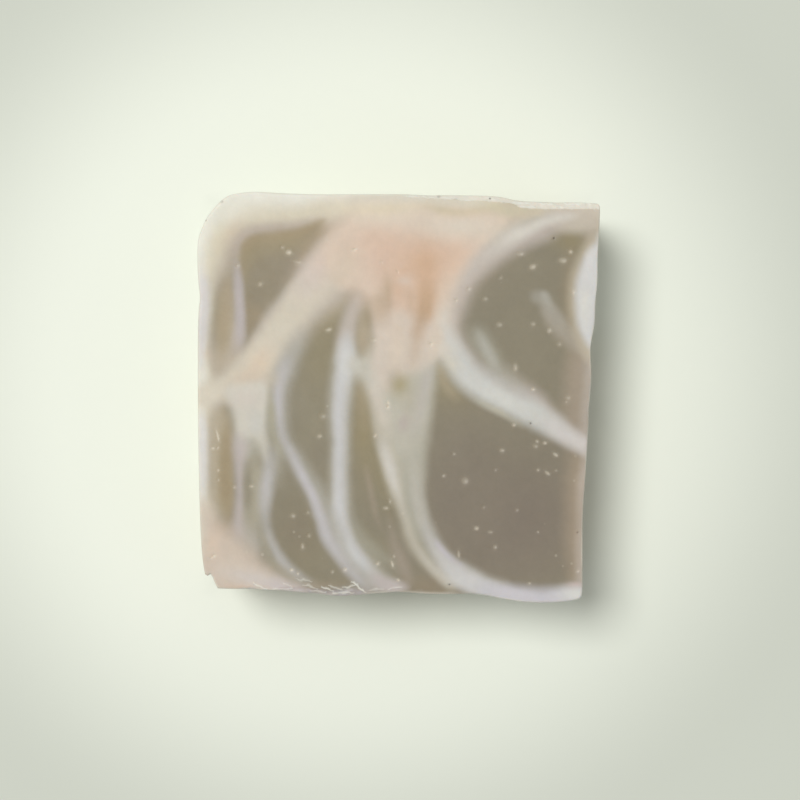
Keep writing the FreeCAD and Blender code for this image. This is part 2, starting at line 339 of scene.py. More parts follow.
def marbling(X, Y, Z):
    """Colour shares at points of the loaf. X, Y in picture units, Z is the depth below the face, in mm."""
    # the poured lines waver a little
    wx = 0.8 * noise(X, Y, Z * 3, 26.0, 3) + 0.25 * noise(X, Y, Z * 3, 9.0, 5)
    wy = 0.8 * noise(X, Y, Z * 3, 26.0, 4) + 0.25 * noise(X, Y, Z * 3, 9.0, 6)
    p = Paint(X + wx, Y + wy)

    # ---- tints of the dark soap -------------------------------------------------
    p.blot("taupe", 525, 515, 80, 72, 0, 0.9)
    p.blot("taupe", 505, 548, 60, 36, 0, 0.4)
    p.blot({"moss": 1}, 300, 540, 26, 44, 0, 0.3)
    p.blot({"moss": 2, "umber": 1, "ash": 1}, 275, 262, 50, 48, 0, 0.42)
    p.blot({"moss": 1}, 450, 384, 22, 30, -50, 0.55)
    p.blot({"moss": 6, "umber": 1}, 364, 415, 15, 64, 0, 0.8)
    p.blot("moss", 382, 478, 12, 44, -14, 0.45)
    p.blot({"umber": 2, "moss": 3, "cream": 1}, 334, 308, 32, 16, -40, 0.8)
    p.blot("moss", 322, 350, 24, 44, 10, 0.5)
    p.blot({"moss": 3, "ash": 1}, 318, 430, 18, 50, 0, 0.25)
    p.blot({"taupe": 5, "olive": 1}, 462, 500, 44, 70, 0, 0.75)
    p.blot({"ash": 1, "moss": 3}, 370, 548, 26, 16, 35, 0.4)
    p.blot({"umber": 3, "moss": 2}, 300, 235, 44, 15, -14, 0.7)
    p.blot({"umber": 2, "moss": 1}, 318, 225, 14, 10, -10, 0.4)
    p.blot({"umber": 1, "moss": 1}, 250, 250, 15, 26, 0, 0.5)
    p.blot({"umber": 3, "olive": 1}, 252, 312, 17, 34, 0, 0.6)
    p.blot({"umber": 1, "moss": 1}, 288, 268, 12, 26, 35, 0.4)
    p.blot("moss", 572, 240, 24, 12, 8, 0.6)
    p.blot("umber", 571, 300, 9, 52, 0, 0.3)
    p.vein({"umber": 3, "lilac": 1}, [(580, 345, 8, 9, .3), (579, 365, 11, 12, .6), (577, 390, 12, 12, .6), (576, 420, 12, 12, .6)])
    p.vein({"umber": 1, "lilac": 1, "cream": 1}, [(590, 345, 4, 6, .5), (590, 370, 5, 7, .7), (588, 400, 5, 7, .7), (587, 430, 5, 7, .7)])
    p.vein({"umber": 5, "lilac": 1}, [(583, 455, 14, 12, .5), (582, 480, 14, 13, .7), (580, 510, 13, 13, .7), (579, 545, 11, 12, .65), (578, 575, 9, 10, .6)])
    p.vein({"umber": 1, "lilac": 1, "cream": 1}, [(586, 455, 4, 5, .4), (584, 480, 5, 6, .7), (582, 510, 4.5, 5.5, .5), (581, 545, 4.4, 5, .5), (581, 577, 5, 5, .65)])
    p.blot({"taupe": 1, "umber": 1}, 428, 586, 24, 12, 0, 0.5)
    p.blot({"taupe": 2, "olive": 1}, 466, 500, 30, 74, 0, 0.6)
    p.blot({"taupe": 2, "olive": 1}, 512, 566, 44, 16, 0, 0.5)
    p.blot({"taupe": 3, "olive": 1, "moss": 1}, 297, 530, 20, 28, 0, 0.7)
    p.blot({"taupe": 1, "olive": 1}, 318, 455, 10, 22, 0, 0.4)

    # ---- pale skin of the loaf, along the left and the top ---------------------
    p.vein({"umber": 4, "lilac": 2, "cream": 3, "moss": 1}, [
        (372, 188, 8, 7, 0), (346, 190, 29, 11, .7), (322, 191, 34, 12, .8), (300, 193, 36, 13, .85), (270, 193, 39, 14, .9), (246, 196, 42, 14, .9),
        (227, 203, 45, 14, .9), (213, 214, 46, 14, .9), (204, 230, 43, 14, .9), (200, 250, 39, 13, .85), (198, 272, 33, 12, .75), (197, 292, 22, 11, .65),
        (197, 315, 17, 9, .65), (197, 345, 20, 9, .75), (197, 365, 24, 10, .8), (197, 385, 25, 10, .75), (197, 405, 24, 10, .8), (197, 430, 17, 11, .75), (197, 460, 15, 11, .75),
        (197, 490, 16, 11, .75), (198, 512, 19, 11, .7), (200, 540, 16, 9, .3)])
    p.vein({"cream": 5, "butter": 3, "ash": 1}, [
        (372, 190, 10, 8, 0), (346, 190, 27, 9, .9), (322, 191, 29, 8, .95), (300, 193, 29.5, 8, 1), (270, 193, 30, 9, 1), (246, 196, 30.5, 11, 1),
        (227, 203, 30, 12, 1), (213, 214, 30, 13, 1), (204, 230, 27, 14, 1), (200, 250, 21, 14, 1), (198, 272, 17, 12, 1), (197, 295, 13, 9, 1),
        (197, 325, 9, 8, .9), (197, 355, 11, 8, 1), (197, 380, 17, 9, 1), (197, 400, 17, 9, 1), (197, 430, 10, 8, 1), (197, 455, 8, 8, 1), (197, 480, 9, 7, 1), (198, 505, 14, 8, .9),
        (200, 525, 14, 9, .5), (201, 565, 8, 7, 0)])
    p.vein({"wax": 2, "cream": 1}, [
        (362, 190, 3, 5, 0), (342, 190, 10, 8, .7), (322, 191, 11, 8, .8), (300, 193, 13, 8, .9), (270, 193, 15, 9, .9), (246, 196, 17, 10, .9),
        (227, 203, 18, 11, .9), (213, 214, 17, 11, .9), (204, 230, 13, 10, .9), (200, 250, 9, 8, .9), (198, 275, 7, 6, .9), (197, 300, 6, 5, .6),
        (197, 355, 8.5, 5, .85), (197, 371, 11.5, 6, .95), (197, 400, 9, 6, .8), (197, 440, 7, 5, .7), (197, 480, 8, 5, .9), (199, 515, 6, 5, .6), (202, 550, 4, 5, 0)])
    p.vein("wax", [
        (362, 190, 2, 4, 0), (342, 190, 5, 5, .7), (300, 193, 7, 6, .9), (270, 193, 8, 7, .9), (246, 196, 9, 8, 1),
        (227, 203, 11, 9, 1), (213, 214, 11, 9, 1), (204, 230, 8, 8, 1), (200, 250, 5, 6, 1), (198, 275, 4, 4, .7), (197, 300, 3, 4, .3)])
    p.vein({"lilac": 3, "wax": 2, "cream": 1}, [
        (200, 262, 3, 4, 0), (202.4, 283, 7, 4.8, .85), (202.8, 308, 6.9, 4.2, .9), (201.6, 338, 5, 3.6, .85), (201, 358, 3.5, 3, .5), (201, 375, 3, 3, 0)])
    p.vein({"lilac": 2, "wax": 3}, [
        (201, 405, 3, 3, 0), (202.5, 425, 4.5, 4, .8), (202.5, 450, 5, 4, .9), (203, 480, 5, 4, .7), (203, 505, 4, 4, 0)])
    p.blot("blush", 207, 354, 5, 5, 0, 0.18)
    p.blot({"butter": 3, "ash": 1}, 216, 236, 12, 34, 18, 0.45)
    p.blot({"butter": 2, "cream": 1}, 252, 205, 30, 8, -8, 0.25)
    p.vein({"butter": 1, "ash": 2}, [(213, 262, 3, 5, 0), (212.5, 285, 3.5, 5, .3), (211.5, 310, 3.2, 4, .4), (209, 335, 3, 4, .2), (208, 350, 2, 4, 0)])
    # the dark soap under the skin's corner, with a clear edge
    p.vein({"lilac": 3, "umber": 5, "cream": 1}, [(236, 268, 3, 5, 0), (236, 250, 5, 5, .5), (241, 239, 5, 5, .6), (254, 230.5, 4.5, 5, .6), (275, 228, 4.5, 5, .6), (300, 224, 4, 5, .5), (322, 216, 3, 4, .2), (336, 210, 2, 4, 0)])
    p.patch({"umber": 5, "moss": 4, "olive": 1}, [
        (242, 276), (241, 258), (242, 246), (248, 237.5), (259, 233), (276, 231), (293, 228.5), (306, 225.5), (315, 222), (322, 219.5), (324.5, 222), (312, 243), (294, 268), (268, 290)], 4.5, .85)
    p.patch({"moss": 3, "olive": 3, "umber": 1}, [
        (243, 292), (243.5, 268), (247, 253), (259, 244), (278, 242), (293, 240), (304, 236), (313, 230), (318, 229), (306, 250), (290, 274), (268, 300)], 8, .75)
    p.patch({"olive": 5, "umber": 1, "taupe": 1}, [(248, 300), (249, 275), (258, 260), (276, 254), (292, 252), (300, 256), (288, 280), (262, 306)], 9, .75)
    p.blot({"blush": 1, "umber": 1}, 232, 232, 16, 7, -52, 0.25)
    p.blot({"ash": 1, "wax": 1}, 225, 206, 26, 6, -38, 0.2)
    # left strip of dark soap, above
    p.vein({"umber": 4, "cream": 3, "moss": 1, "lilac": 1}, [(229, 268, 4, 7, 0), (229, 290, 7, 7, .5), (230, 312, 7.5, 7, .65), (231, 334, 11, 7, .8), (229, 352, 14, 7, .95), (225, 368, 13, 7, .92), (222, 384, 8, 7, 0)])
    p.vein({"umber": 5, "moss": 4, "cream": 1}, [
        (228, 266, 4, 7, 0), (226, 282, 5, 7, .35), (223.5, 300, 7, 6.5, .7), (222.5, 320, 7.6, 6, .85), (222.6, 336, 6.6, 6, .82), (221.6, 349, 5.2, 5.5, .6), (220, 362, 4, 5, .25), (219.5, 376, 2.5, 4, .15), (221, 390, 3, 4, .25), (223, 400, 3, 4, 0)])
    p.vein({"umber": 5, "taupe": 1, "cream": 1}, [
        (229, 276, 3, 5, 0), (228, 292, 4, 5, .4), (226, 315, 4.5, 5, .5), (223, 332, 4, 5, .3), (221, 344, 3, 4, 0)])
    p.vein({"lilac": 4, "umber": 2, "ash": 1}, [
        (237, 257, 2, 4, 0), (237.5, 268, 3.2, 4, .6), (238.5, 285, 4.4, 3.6, .9), (239.3, 305, 4.7, 3.6, .95), (239.6, 322, 5, 4, .95), (239, 337, 5.4, 5, .8), (237, 349, 5.4, 5.5, .35), (232, 360, 5, 6, 0)])
    # ---- the wide pale band from the rose part down to the left edge -----------
    p.vein({"umber": 2, "lilac": 2, "cream": 3}, [
        (343, 260, 25, 11, .85, 8), (329, 282, 22.5, 13, .85, 7), (306.5, 301.5, 21.5, 13, .85, 7), (286, 323, 21.5, 14, .85, 7), (269.5, 349, 21, 13, .85, 7),
        (254, 371, 19.5, 11, .8, 7), (237, 386, 15.5, 9, .8, 7), (216, 394, 13, 8, .6, 8), (200, 398, 10, 8, 0, 8)])
    p.vein({"cream": 7, "umber": 1}, [
        (348, 243, 21, 10, .7, 9), (332, 262, 21, 11, .95, 8), (308.5, 291.5, 18.5, 10, .95, 7), (290.5, 317, 16, 10, 1, 7), (270.5, 344.5, 16.5, 10, 1, 7),
        (254, 367, 18, 9, 1, 7), (235, 383, 15, 8, 1, 8), (214, 392, 12, 8, .95, 8), (196, 398, 10, 7, .8, 7)])
    p.vein({"cream": 2, "wax": 1}, [(292, 314, 5, 8, 0), (281, 328, 7, 9, .2), (266, 345, 7, 9, .25), (250, 358, 5, 8, .2), (236, 371, 4, 7, 0)])
    p.blot({"blush": 4, "butter": 2}, 258, 362, 12, 20, 35, 0.6)
    p.blot({"blush": 2, "umber": 1}, 248, 384, 18, 11, 0, 0.4)
    p.blot("blush", 328, 256, 16, 26, 40, 0.45)
    p.blot({"blush": 2, "lilac": 3}, 312, 273, 18, 30, 38, 0.42)
    p.blot("cream", 212, 392, 16, 9, -10, 0.5)
    # ---- rose part --------------------------------------------------------------
    p.patch({"blush": 3, "cream": 3}, [
        (326, 250), (342, 222), (360, 203), (400, 196), (450, 198), (490, 204), (520, 212), (512, 224),
        (494, 242), (480, 260), (468, 283), (458, 310), (452, 335), (440, 352), (420, 362), (398, 366),
        (380, 352), (376, 325), (368, 303), (352, 291), (336, 283)], 9)
    p.blot("blush", 392, 252, 52, 36, 0, 0.75)
    p.blot("blush", 450, 250, 34, 30, 0, 0.5)
    p.blot({"blush": 2, "apricot": 1}, 385, 245, 24, 16, 10, 0.35)
    p.blot("apricot", 418, 262, 26, 22, 0, 0.45)
    p.blot("apricot", 428, 268, 14, 30, 0, 0.45)
    p.blot({"apricot": 2, "umber": 1}, 421, 266, 18, 12, -10, 0.35)
    p.blot("apricot", 452, 256, 18, 20, 0, 0.25)
    p.blot({"cream": 2, "umber": 1}, 345, 266, 14, 20, 20, 0.4)
    p.blot({"butter": 2, "cream": 1}, 385, 206, 50, 9, 0, 0.8)
    p.blot({"butter": 1, "blush": 1, "wax": 2}, 385, 217, 46, 10, 0, 0.45)
    p.blot({"cream": 2, "blush": 1, "wax": 1}, 462, 226, 44, 13, 0, 0.6)
    p.vein({"butter": 3, "cream": 2, "moss": 1}, [(455, 204, 3, 5, 0), (470, 205, 5, 5, .4), (488, 204, 8, 6, .85), (506, 206, 8, 6, .85), (524, 210, 6, 6, .7), (540, 209, 4, 5, .4), (556, 208, 3, 4, 0)])
    p.blot("blush", 402, 303, 22, 36, 0, 0.6)
    p.blot("apricot", 425, 288, 13, 28, 0, 0.45)
    p.blot({"cream": 2, "wax": 1}, 455, 228, 52, 13, 4, 0.3)
    p.blot({"wax": 2, "cream": 1, "blush": 1}, 368, 200, 44, 8, 0, 0.5)
    p.blot({"cream": 2, "blush": 3}, 337, 228, 13, 11, -40, 0.45)
    p.blot({"blush": 3, "umber": 1}, 360, 302, 9, 11, 0, 0.6)
    p.blot({"butter": 3, "apricot": 1}, 380, 209, 30, 6, 0, 0.3)
    p.blot({"umber": 1, "blush": 2}, 384, 272, 12, 20, 0, 0.35)
    p.blot({"umber": 1, "blush": 3}, 370, 238, 12, 6, -35, 0.35)
    p.blot("blush", 378, 258, 10, 14, 0, 0.35)
    p.vein({"umber": 2, "apricot": 3}, [(428, 275, 6, 7, 0), (427, 290, 8, 7, .6), (425, 305, 8, 6, .85), (423, 320, 7.5, 6, .9),
                       (421, 333, 6.5, 6, .7), (419, 346, 5, 6, .4), (418, 360, 3, 5, 0)])
    p.vein({"umber": 3, "moss": 2, "blush": 2}, [(387, 270, 4, 6, 0), (388, 288, 5, 6, .6), (388, 305, 4, 6, .45), (387, 322, 3, 6, 0)])
    p.vein({"cream": 1, "blush": 1}, [(378, 288, 5, 7, 0), (377, 305, 5, 6, .5), (377, 322, 4, 6, .4), (378, 338, 3, 5, 0)])
    p.vein({"blush": 4, "cream": 1, "umber": 1}, [(404, 280, 5, 7, 0), (403, 298, 6, 7, .4), (402, 320, 7, 7, .5), (401, 342, 6, 7, .4)])
    p.blot("apricot", 399, 287, 9, 18, 0, 0.42)
    p.vein({"umber": 1, "apricot": 1}, [(411, 282, 3, 5, 0), (411, 300, 4, 5, .4), (410, 320, 4, 5, .3), (409, 340, 3, 5, 0)])
    p.blot({"lilac": 1, "cream": 2}, 404, 281, 9, 5, 0, 0.35)
    p.vein({"apricot": 2, "blush": 1}, [(398, 274, 1.5, 2.5, 0), (404, 270, 2, 3, .4), (412, 268, 2, 3, .3), (418, 269, 1.5, 3, 0)])

    # ---- top edge tints ----------------------------------------------------------
    p.vein({"wax": 1, "cream": 2}, [(330, 192, 5, 5, .8), (380, 193, 6, 6, .8), (412, 195, 7, 5, .8), (440, 197, 6, 5, .7), (470, 198, 5, 4, .6), (490, 198, 4, 4, .3), (510, 200, 3, 3, 0)])
    p.blot({"butter": 2, "umber": 2, "cream": 2}, 438, 208, 15, 5, 12, 0.5)
    p.vein({"umber": 2, "butter": 4}, [(425, 207, 3, 4, 0), (442, 210, 4, 4, .5), (460, 212, 4, 4, .6), (480, 210, 4, 5, .5), (496, 209, 4, 5, 0)])
    p.vein({"moss": 2, "butter": 6}, [(476, 201, 3, 3, 0), (492, 203, 5, 4, .75), (508, 206, 6, 4, .85), (524, 211, 5.5, 4, .85), (542, 212.5, 4.5, 4, .8), (556, 211, 3, 3, 0)])
    p.vein({"moss": 1, "butter": 2, "cream": 1}, [(496, 212, 4, 6, 0), (510, 215, 4, 6, .3), (520, 216, 3, 5, 0)])
    p.vein({"cream": 3, "butter": 1, "wax": 1}, [(418, 200, 3, 4, 0), (440, 202, 4.5, 4, .5), (465, 203, 5, 4, .7), (485, 202.5, 4, 4, .6), (505, 203, 3.5, 4, .4), (516, 206, 3, 4, 0)])

    p.vein({"cream": 3, "umber": 2, "lilac": 1, "butter": 1}, [(496, 200, 6, 5, 0), (512, 201, 10, 5, .9), (550, 201, 12, 5, .9), (612, 202, 12, 6, .9)])
    # ---- the curved vein on the right -------------------------------------------
    p.vein({"butter": 4, "moss": 2, "cream": 3}, [(486, 208, 5, 6, 0), (505, 210, 6, 6, .7), (524, 210.5, 5, 5, .8), (540, 209.5, 4, 4, .85), (556, 208, 3.5, 4, .5), (570, 207, 3, 4, 0)])
    p.vein({"cream": 5, "umber": 2, "lilac": 1}, [(534, 222, 7, 7, 0), (548, 218.5, 12, 6, .8), (562, 217, 14.5, 6.5, .9), (582, 216.5, 15.5, 7, .9), (604, 216.5, 18, 8, .95)])
    p.blot({"cream": 1, "umber": 2, "lilac": 1}, 592, 238, 10, 12, 0, 0.45)
    p.vein({"cream": 4, "lilac": 2, "umber": 1}, [(545, 218, 4, 4, .2), (556, 216.5, 4.5, 4, .6), (568, 215.5, 4, 4, .6), (580, 215, 3, 4, .2), (592, 215, 2, 4, 0)])
    p.vein({"umber": 3, "lilac": 3, "cream": 2}, [
        (568, 223, 6, 7, 0), (547, 229.4, 10.4, 8, .85, 5), (525, 238, 10.8, 8, .87, 6), (504, 248.5, 10.5, 9, .85, 7), (485, 260.5, 11, 10, .9, 8), (469, 279.5, 8.5, 10.5, .9, 8),
        (460, 302, 7.6, 11.5, .8, 9), (453, 324, 8, 10.5, .76, 9), (456, 345, 11, 11, .75, 8), (470, 364, 13, 14, .7, 8),
        (489, 378, 14, 13, .65, 8), (511, 389, 13, 10, .65, 8), (530, 401, 13, 8, .7, 8), (548, 418.5, 11.5, 7, .8, 8), (566, 434, 10.5, 7, .85, 7), (596, 449, 10, 7, .85, 7)])
    p.blot({"cream": 4, "blush": 1, "umber": 1}, 521, 219.5, 20, 6.2, -22, 0.85)
    p.vein({"milk": 4, "cream": 4, "wax": 2, "blush": 1}, [
        (580, 216, 2, 4, .1, 4), (565, 217, 3.4, 4.5, .75, 4.5), (548, 221, 4.8, 5, .9, 5.5), (531, 227.5, 7, 5.5, .95, 7.5), (512, 236, 8.4, 7, .92, 8.5), (492, 249, 8, 9, .5, 9),
        (472, 268, 7, 11, .25, 9), (453, 298, 6, 9, .2, 9), (443.8, 320, 6.4, 9.4, .73, 8), (447, 342, 10, 10, .9, 8)])
    p.vein({"milk": 6, "wax": 1, "ash": 2}, [
        (445, 322, 5, 8, 0, 8), (447.5, 343, 10, 8, .85, 8), (457, 361, 13.5, 8, .95, 9), (471.5, 379, 13, 9, .98, 9),
        (492.5, 394, 12.5, 9, .98, 8), (516, 405.5, 12, 8, .95, 8), (535, 414.6, 12.4, 7, .9, 7), (555.5, 428, 10.6, 7, .72, 7),
        (574, 441, 7, 6, .45, 6), (600, 453, 8, 6, 0, 6)])
    p.vein({"milk": 3, "lilac": 1, "blush": 1, "wax": 1}, [(536, 414, 6, 7, 0), (555, 428, 7, 7, .7), (576, 441, 7, 6.5, .85), (600, 451, 8, 6.5, .9)])
    p.blot({"ash": 1, "milk": 2}, 536, 408, 18, 6, 28, 0.4)
    p.vein({"butter": 1, "ash": 2}, [(470, 396, 2, 3, 0), (484, 405, 2.5, 3.5, .5), (500, 413, 2.5, 3.5, .6), (515, 421, 2, 3, .3), (527, 429, 2, 3, 0)])
    p.blot("wax", 500, 398, 26, 7, 28, 0.2)
    p.vein({"ash": 2, "milk": 2, "lilac": 1}, [(478, 362, 5, 6, 0), (493, 375, 6, 6, .55), (512, 385.5, 6, 6, .5), (533, 398, 5, 6, .3), (546, 407, 4, 5, 0)])
    # faint lines in the upper right patch
    p.vein({"ash": 1, "olive": 1}, [(470, 320, 6, 7, 0), (478, 336, 10, 8, .75), (488, 354, 10, 8, .75), (498, 368, 9, 8, .6),
                   (514, 380, 8, 8, .4), (530, 388, 6, 7, 0)])
    p.vein({"ash": 5, "lilac": 1}, [(474, 325, 2, 5, 0), (481, 338.5, 4.2, 5, .6), (487.5, 351, 4.8, 5.2, .74), (493.5, 363, 4.2, 5, .62), (502, 375, 3, 5, 0)])
    p.vein({"umber": 2, "ash": 2, "lilac": 1, "olive": 1}, [(541, 300, 5, 5, 0), (548, 311, 8, 5, .7), (555, 321, 9, 6, .75), (564, 332, 9, 7, .75), (576, 341, 10, 7, .7), (592, 348, 10, 7, .6)])
    p.vein({"ash": 3, "olive": 3, "lilac": 1}, [(527, 298, 3, 4, 0), (534, 297.5, 6, 4.5, .55), (542, 299, 7.5, 4.5, .65), (547, 306, 6.5, 5, .55), (553, 316, 5.5, 5, .5), (561, 327, 5, 5, .3), (568, 335, 4, 5, 0)])
    p.vein({"ash": 4, "lilac": 1}, [(540, 291, 2, 3, 0), (544, 296, 4, 3.5, .45), (547, 303, 3.5, 3.5, .35), (550, 311, 3, 4, 0)])

    # white patch on the right edge
    p.patch({"cream": 2, "umber": 2, "ash": 1}, [
        (602, 226), (592, 234), (583, 246), (576, 260), (571, 276), (569, 294), (569, 313), (572, 330),
        (578, 346), (588, 362), (604, 368), (612, 300)], 6, .75)
    p.patch({"milk": 5, "wax": 1, "lilac": 1}, [
        (603, 236), (596, 243), (589, 251), (583, 262), (578.5, 277), (576, 294), (576, 313), (578, 326),
        (583, 337), (591, 348), (604, 354), (612, 300)], 5.5)
    p.vein({"lilac": 2, "wax": 3}, [(595, 244, 3, 4, 0), (590, 256, 4, 4, .7), (587, 270, 3, 4, .5), (585, 284, 3, 4, 0)])
    p.blot({"butter": 1, "wax": 2}, 585, 306, 6, 20, 0, 0.35)
    # ---- pale middle --------------------------------------------------------------
    p.patch({"ash": 6, "milk": 1, "cream": 2, "umber": 1}, [
        (360, 358), (374, 345), (400, 338), (420, 342), (435, 354), (436, 376), (432.5, 402), (428.5, 430), (424, 460),
        (423, 490), (424, 512), (420, 535), (412, 535), (404, 512), (396, 490), (389, 465), (381, 442), (374, 415),
        (367, 392), (362, 374)], 9)
    p.patch({"blush": 2, "cream": 4, "lilac": 1}, [(372, 330), (390, 312), (420, 318), (442, 330), (440, 352), (428, 366), (410, 374), (390, 390), (376, 384), (370, 362)], 9, .85)
    p.vein({"blush": 2, "cream": 3}, [(397, 318, 6, 7, .3), (397, 335, 7, 8, .75), (397, 350, 8, 8, .75), (393, 370, 7, 8, .3), (384, 388, 6, 8, 0)])
    p.vein({"umber": 3, "apricot": 2, "blush": 1}, [(424, 300, 4, 6, 0), (421, 315, 6, 7, .7), (418, 330, 6, 7, .65), (416, 345, 6, 7, .4), (413, 360, 5, 6, .25), (408, 372, 4, 5, 0)])
    p.vein({"umber": 3, "moss": 2, "blush": 3}, [(383, 285, 5, 6, 0), (381, 300, 9, 8, .6), (380, 316, 9, 8, .45), (379, 332, 7, 7, 0)])
    p.vein({"blush": 1, "cream": 2}, [(437, 322, 4, 6, 0), (437, 338, 6, 6, .8), (433, 352, 5, 5, .4), (426, 364, 4, 5, 0)])
    p.vein({"cream": 4, "lilac": 1, "blush": 1}, [(372, 368, 5, 6, 0), (374, 385, 7, 7, .6), (379, 405, 7, 7, .6), (384, 425, 7, 7, .5), (388, 446, 6, 7, 0)])
    p.vein({"umber": 2, "ash": 3}, [(369, 326, 3, 4, 0), (371, 340, 4, 4.5, .5), (370, 352, 4, 5, .4), (368, 362, 3, 4, 0)])
    p.vein({"lilac": 2, "ash": 2, "umber": 1}, [(428, 362, 3, 5, 0), (427, 376, 5, 6, .6), (424, 392, 6, 6, .5), (419, 410, 6, 7, .5), (415, 430, 6, 7, .3), (414, 445, 5, 7, 0)])
    p.vein({"ash": 1, "umber": 1, "lilac": 1}, [(393, 366, 4, 5, 0), (393, 378, 5, 5, .5), (392, 392, 4, 5, 0)])
    p.vein({"ash": 2, "umber": 1}, [(414, 378, 4, 5, 0), (409, 402, 6, 6, .4), (406, 414, 5, 6, .3), (404, 432, 4, 6, 0)])
    # ---- vertical white vein --------------------------------------------------------
    p.vein({"lilac": 2, "cream": 2, "umber": 2}, [(362, 286, 5, 8, 0), (356.5, 302, 7, 7, .75), (351, 318, 8, 7, .9), (347, 335, 9, 6, .8), (345, 352, 10, 6, .6), (344, 368, 10, 6, 0)])
    p.vein({"milk": 2, "ash": 2, "umber": 1}, [
        (349, 335, 7, 7, 0), (346, 355, 11, 7, .75), (343, 375, 11.5, 7, .8), (340.5, 400, 11, 7, .8), (340, 440, 9.5, 7, .7), (340, 480, 9.5, 7, .7),
        (340, 505, 10, 7, .7), (343, 527, 10.5, 7.5, .7), (351, 546, 11, 7.5, .75), (363, 562, 11, 7, .7), (378, 577, 9, 6, .6), (396, 588, 7, 5, .4)])
    p.vein({"milk": 6, "lilac": 2, "ash": 1}, [
        (349, 325, 3, 5, 0), (346.5, 338, 5.5, 5, .6), (345.5, 353, 7.5, 5.5, .95), (344, 370, 7.5, 5.5, 1), (340.7, 389, 6.2, 6, .95, 5),
        (339.8, 410, 6, 6, .95, 4.5), (339.5, 440, 5.6, 6, .9, 4.5), (339.5, 470, 5.6, 6, .9, 4.5), (339.5, 495, 5.8, 6, .95, 4.5), (338.5, 514, 7, 6, 1, 5),
        (341.5, 530, 7.4, 6, .92, 5), (348, 546, 8, 6, .96, 5), (358, 560, 7.8, 5.5, .96, 5), (368.5, 572, 5.8, 5, .65), (382, 583, 5, 4, .15), (396, 590, 4, 4, 0)])
    p.blot({"milk": 1, "wax": 1}, 345.5, 366, 8, 20, 0, 0.45)
    p.vein({"lilac": 4, "umber": 2, "cream": 1}, [(362, 576, 5, 5, 0), (374, 581, 7, 5, .8), (388, 585, 7, 5, .85), (402, 587, 5, 4.5, .7), (412, 589, 3, 4, 0)])
    # arch joining it to the middle, and the brown strip above
    p.vein({"ash": 2, "cream": 3, "milk": 2}, [(350, 350, 5, 7, 0), (355, 363, 8, 7, .85), (361, 372, 8, 8, .8), (370, 382, 7, 8, .5)])
    p.vein({"umber": 4, "olive": 1, "cream": 2}, [(366, 298, 4, 6, 0), (365.5, 310, 6, 6, .4), (364, 323, 6.5, 5, .75), (363, 338, 6.5, 5, .85), (362.5, 350, 5, 4.5, .6), (362, 361, 2, 4, 0)])
    p.vein({"moss": 1, "umber": 1}, [(367, 305, 2, 4, 0), (367.5, 318, 2.5, 4, .3), (368, 332, 2.5, 4, 0)])
    p.vein({"umber": 2, "ash": 1}, [(358, 372, 3, 6, 0), (360, 388, 5, 7, .48), (362, 404, 5, 7, .45), (364, 420, 4.5, 6, .3), (366, 438, 3, 6, 0)])
    # ---- left diagonal veins -----------------------------------------------------------
    p.vein({"ash": 3, "olive": 1, "lilac": 1}, [
        (308, 322, 6, 9, 0), (297, 343, 8, 10, .65), (287, 365, 10, 9, .8), (281, 385, 10, 8, .8), (279, 405, 8, 8, .75), (280, 425, 8, 8, .65), (285, 443, 8, 7, .6),
        (296, 460, 8, 7, .65), (305, 475, 8, 8, .7), (315, 490, 8.5, 9, .7), (323, 508, 9, 8, .75), (330, 526, 10, 7, .75), (339, 547, 10, 6, .7), (351, 565, 9, 6, .7), (364, 580, 8, 5, .6), (376, 590, 6, 5, .4)])
    p.vein({"ash": 2, "lilac": 4, "milk": 1}, [
        (292, 352, 5, 7, 0), (285, 368, 5.5, 6, .5), (279.5, 388, 5, 5.5, .75), (278, 405, 4.6, 5, .8), (279.5, 422, 4.3, 5, .6), (284, 438, 4.3, 5, .5),
        (292, 454, 4.3, 5, .65), (299, 469, 4.2, 4.5, .85), (307, 485, 4.2, 4, .95), (314.5, 501, 4.5, 4, .9),
        (321, 519, 5, 4.5, .85), (327, 537, 5.3, 5, .85), (336, 552, 5, 5, .75), (347, 568, 5, 5, .6), (359, 581, 5, 4.5, .5), (370, 590, 4, 4, 0)])
    # pale mass under the band, and the strips and veins below it
    p.patch({"milk": 2, "cream": 5, "ash": 1}, [(226, 390), (240, 384), (264, 382), (270, 396), (268, 412), (266, 428), (268, 446), (266, 460), (259, 450), (252, 441), (245, 444), (241, 456), (236, 440), (232, 414)], 7, .95)
    p.blot({"blush": 1, "cream": 1, "lilac": 1}, 246, 400, 16, 10, 0, 0.35)
    p.blot({"ash": 2, "milk": 3}, 256, 424, 9, 16, 0, 0.5)
    p.blot({"cream": 3, "umber": 1}, 272, 380, 9, 8, -45, 0.5)
    p.blot({"ash": 4, "umber": 1}, 254, 447, 15, 11, 0, 0.45)
    p.blot({"ash": 2, "milk": 1, "cream": 1}, 247, 448, 9, 14, 0, 0.5)
    p.vein({"moss": 2, "ash": 3}, [(270, 382, 2, 4, 0), (270, 396, 3, 4.5, .5), (270.5, 408, 4, 4.5, .85), (271.5, 422, 4, 5, .85), (274, 436, 3.6, 5, .7), (279, 448, 4, 5, .65), (285, 460, 3, 5, 0)])
    p.vein({"ash": 4, "umber": 1, "milk": 1}, [(274, 444, 3, 6, 0), (277, 455, 4, 6, .4), (279, 467, 4, 6, .34), (278, 480, 4, 6, .2), (277, 494, 3, 5, 0)])
    p.vein({"umber": 3, "cream": 3, "moss": 1, "ash": 1}, [(219, 400, 4, 7, 0), (219.5, 415, 8.5, 7, .7), (219, 440, 10.2, 7, .85), (219, 470, 11, 7, .85), (220, 500, 10, 7, .8), (222, 520, 8, 7, 0)])
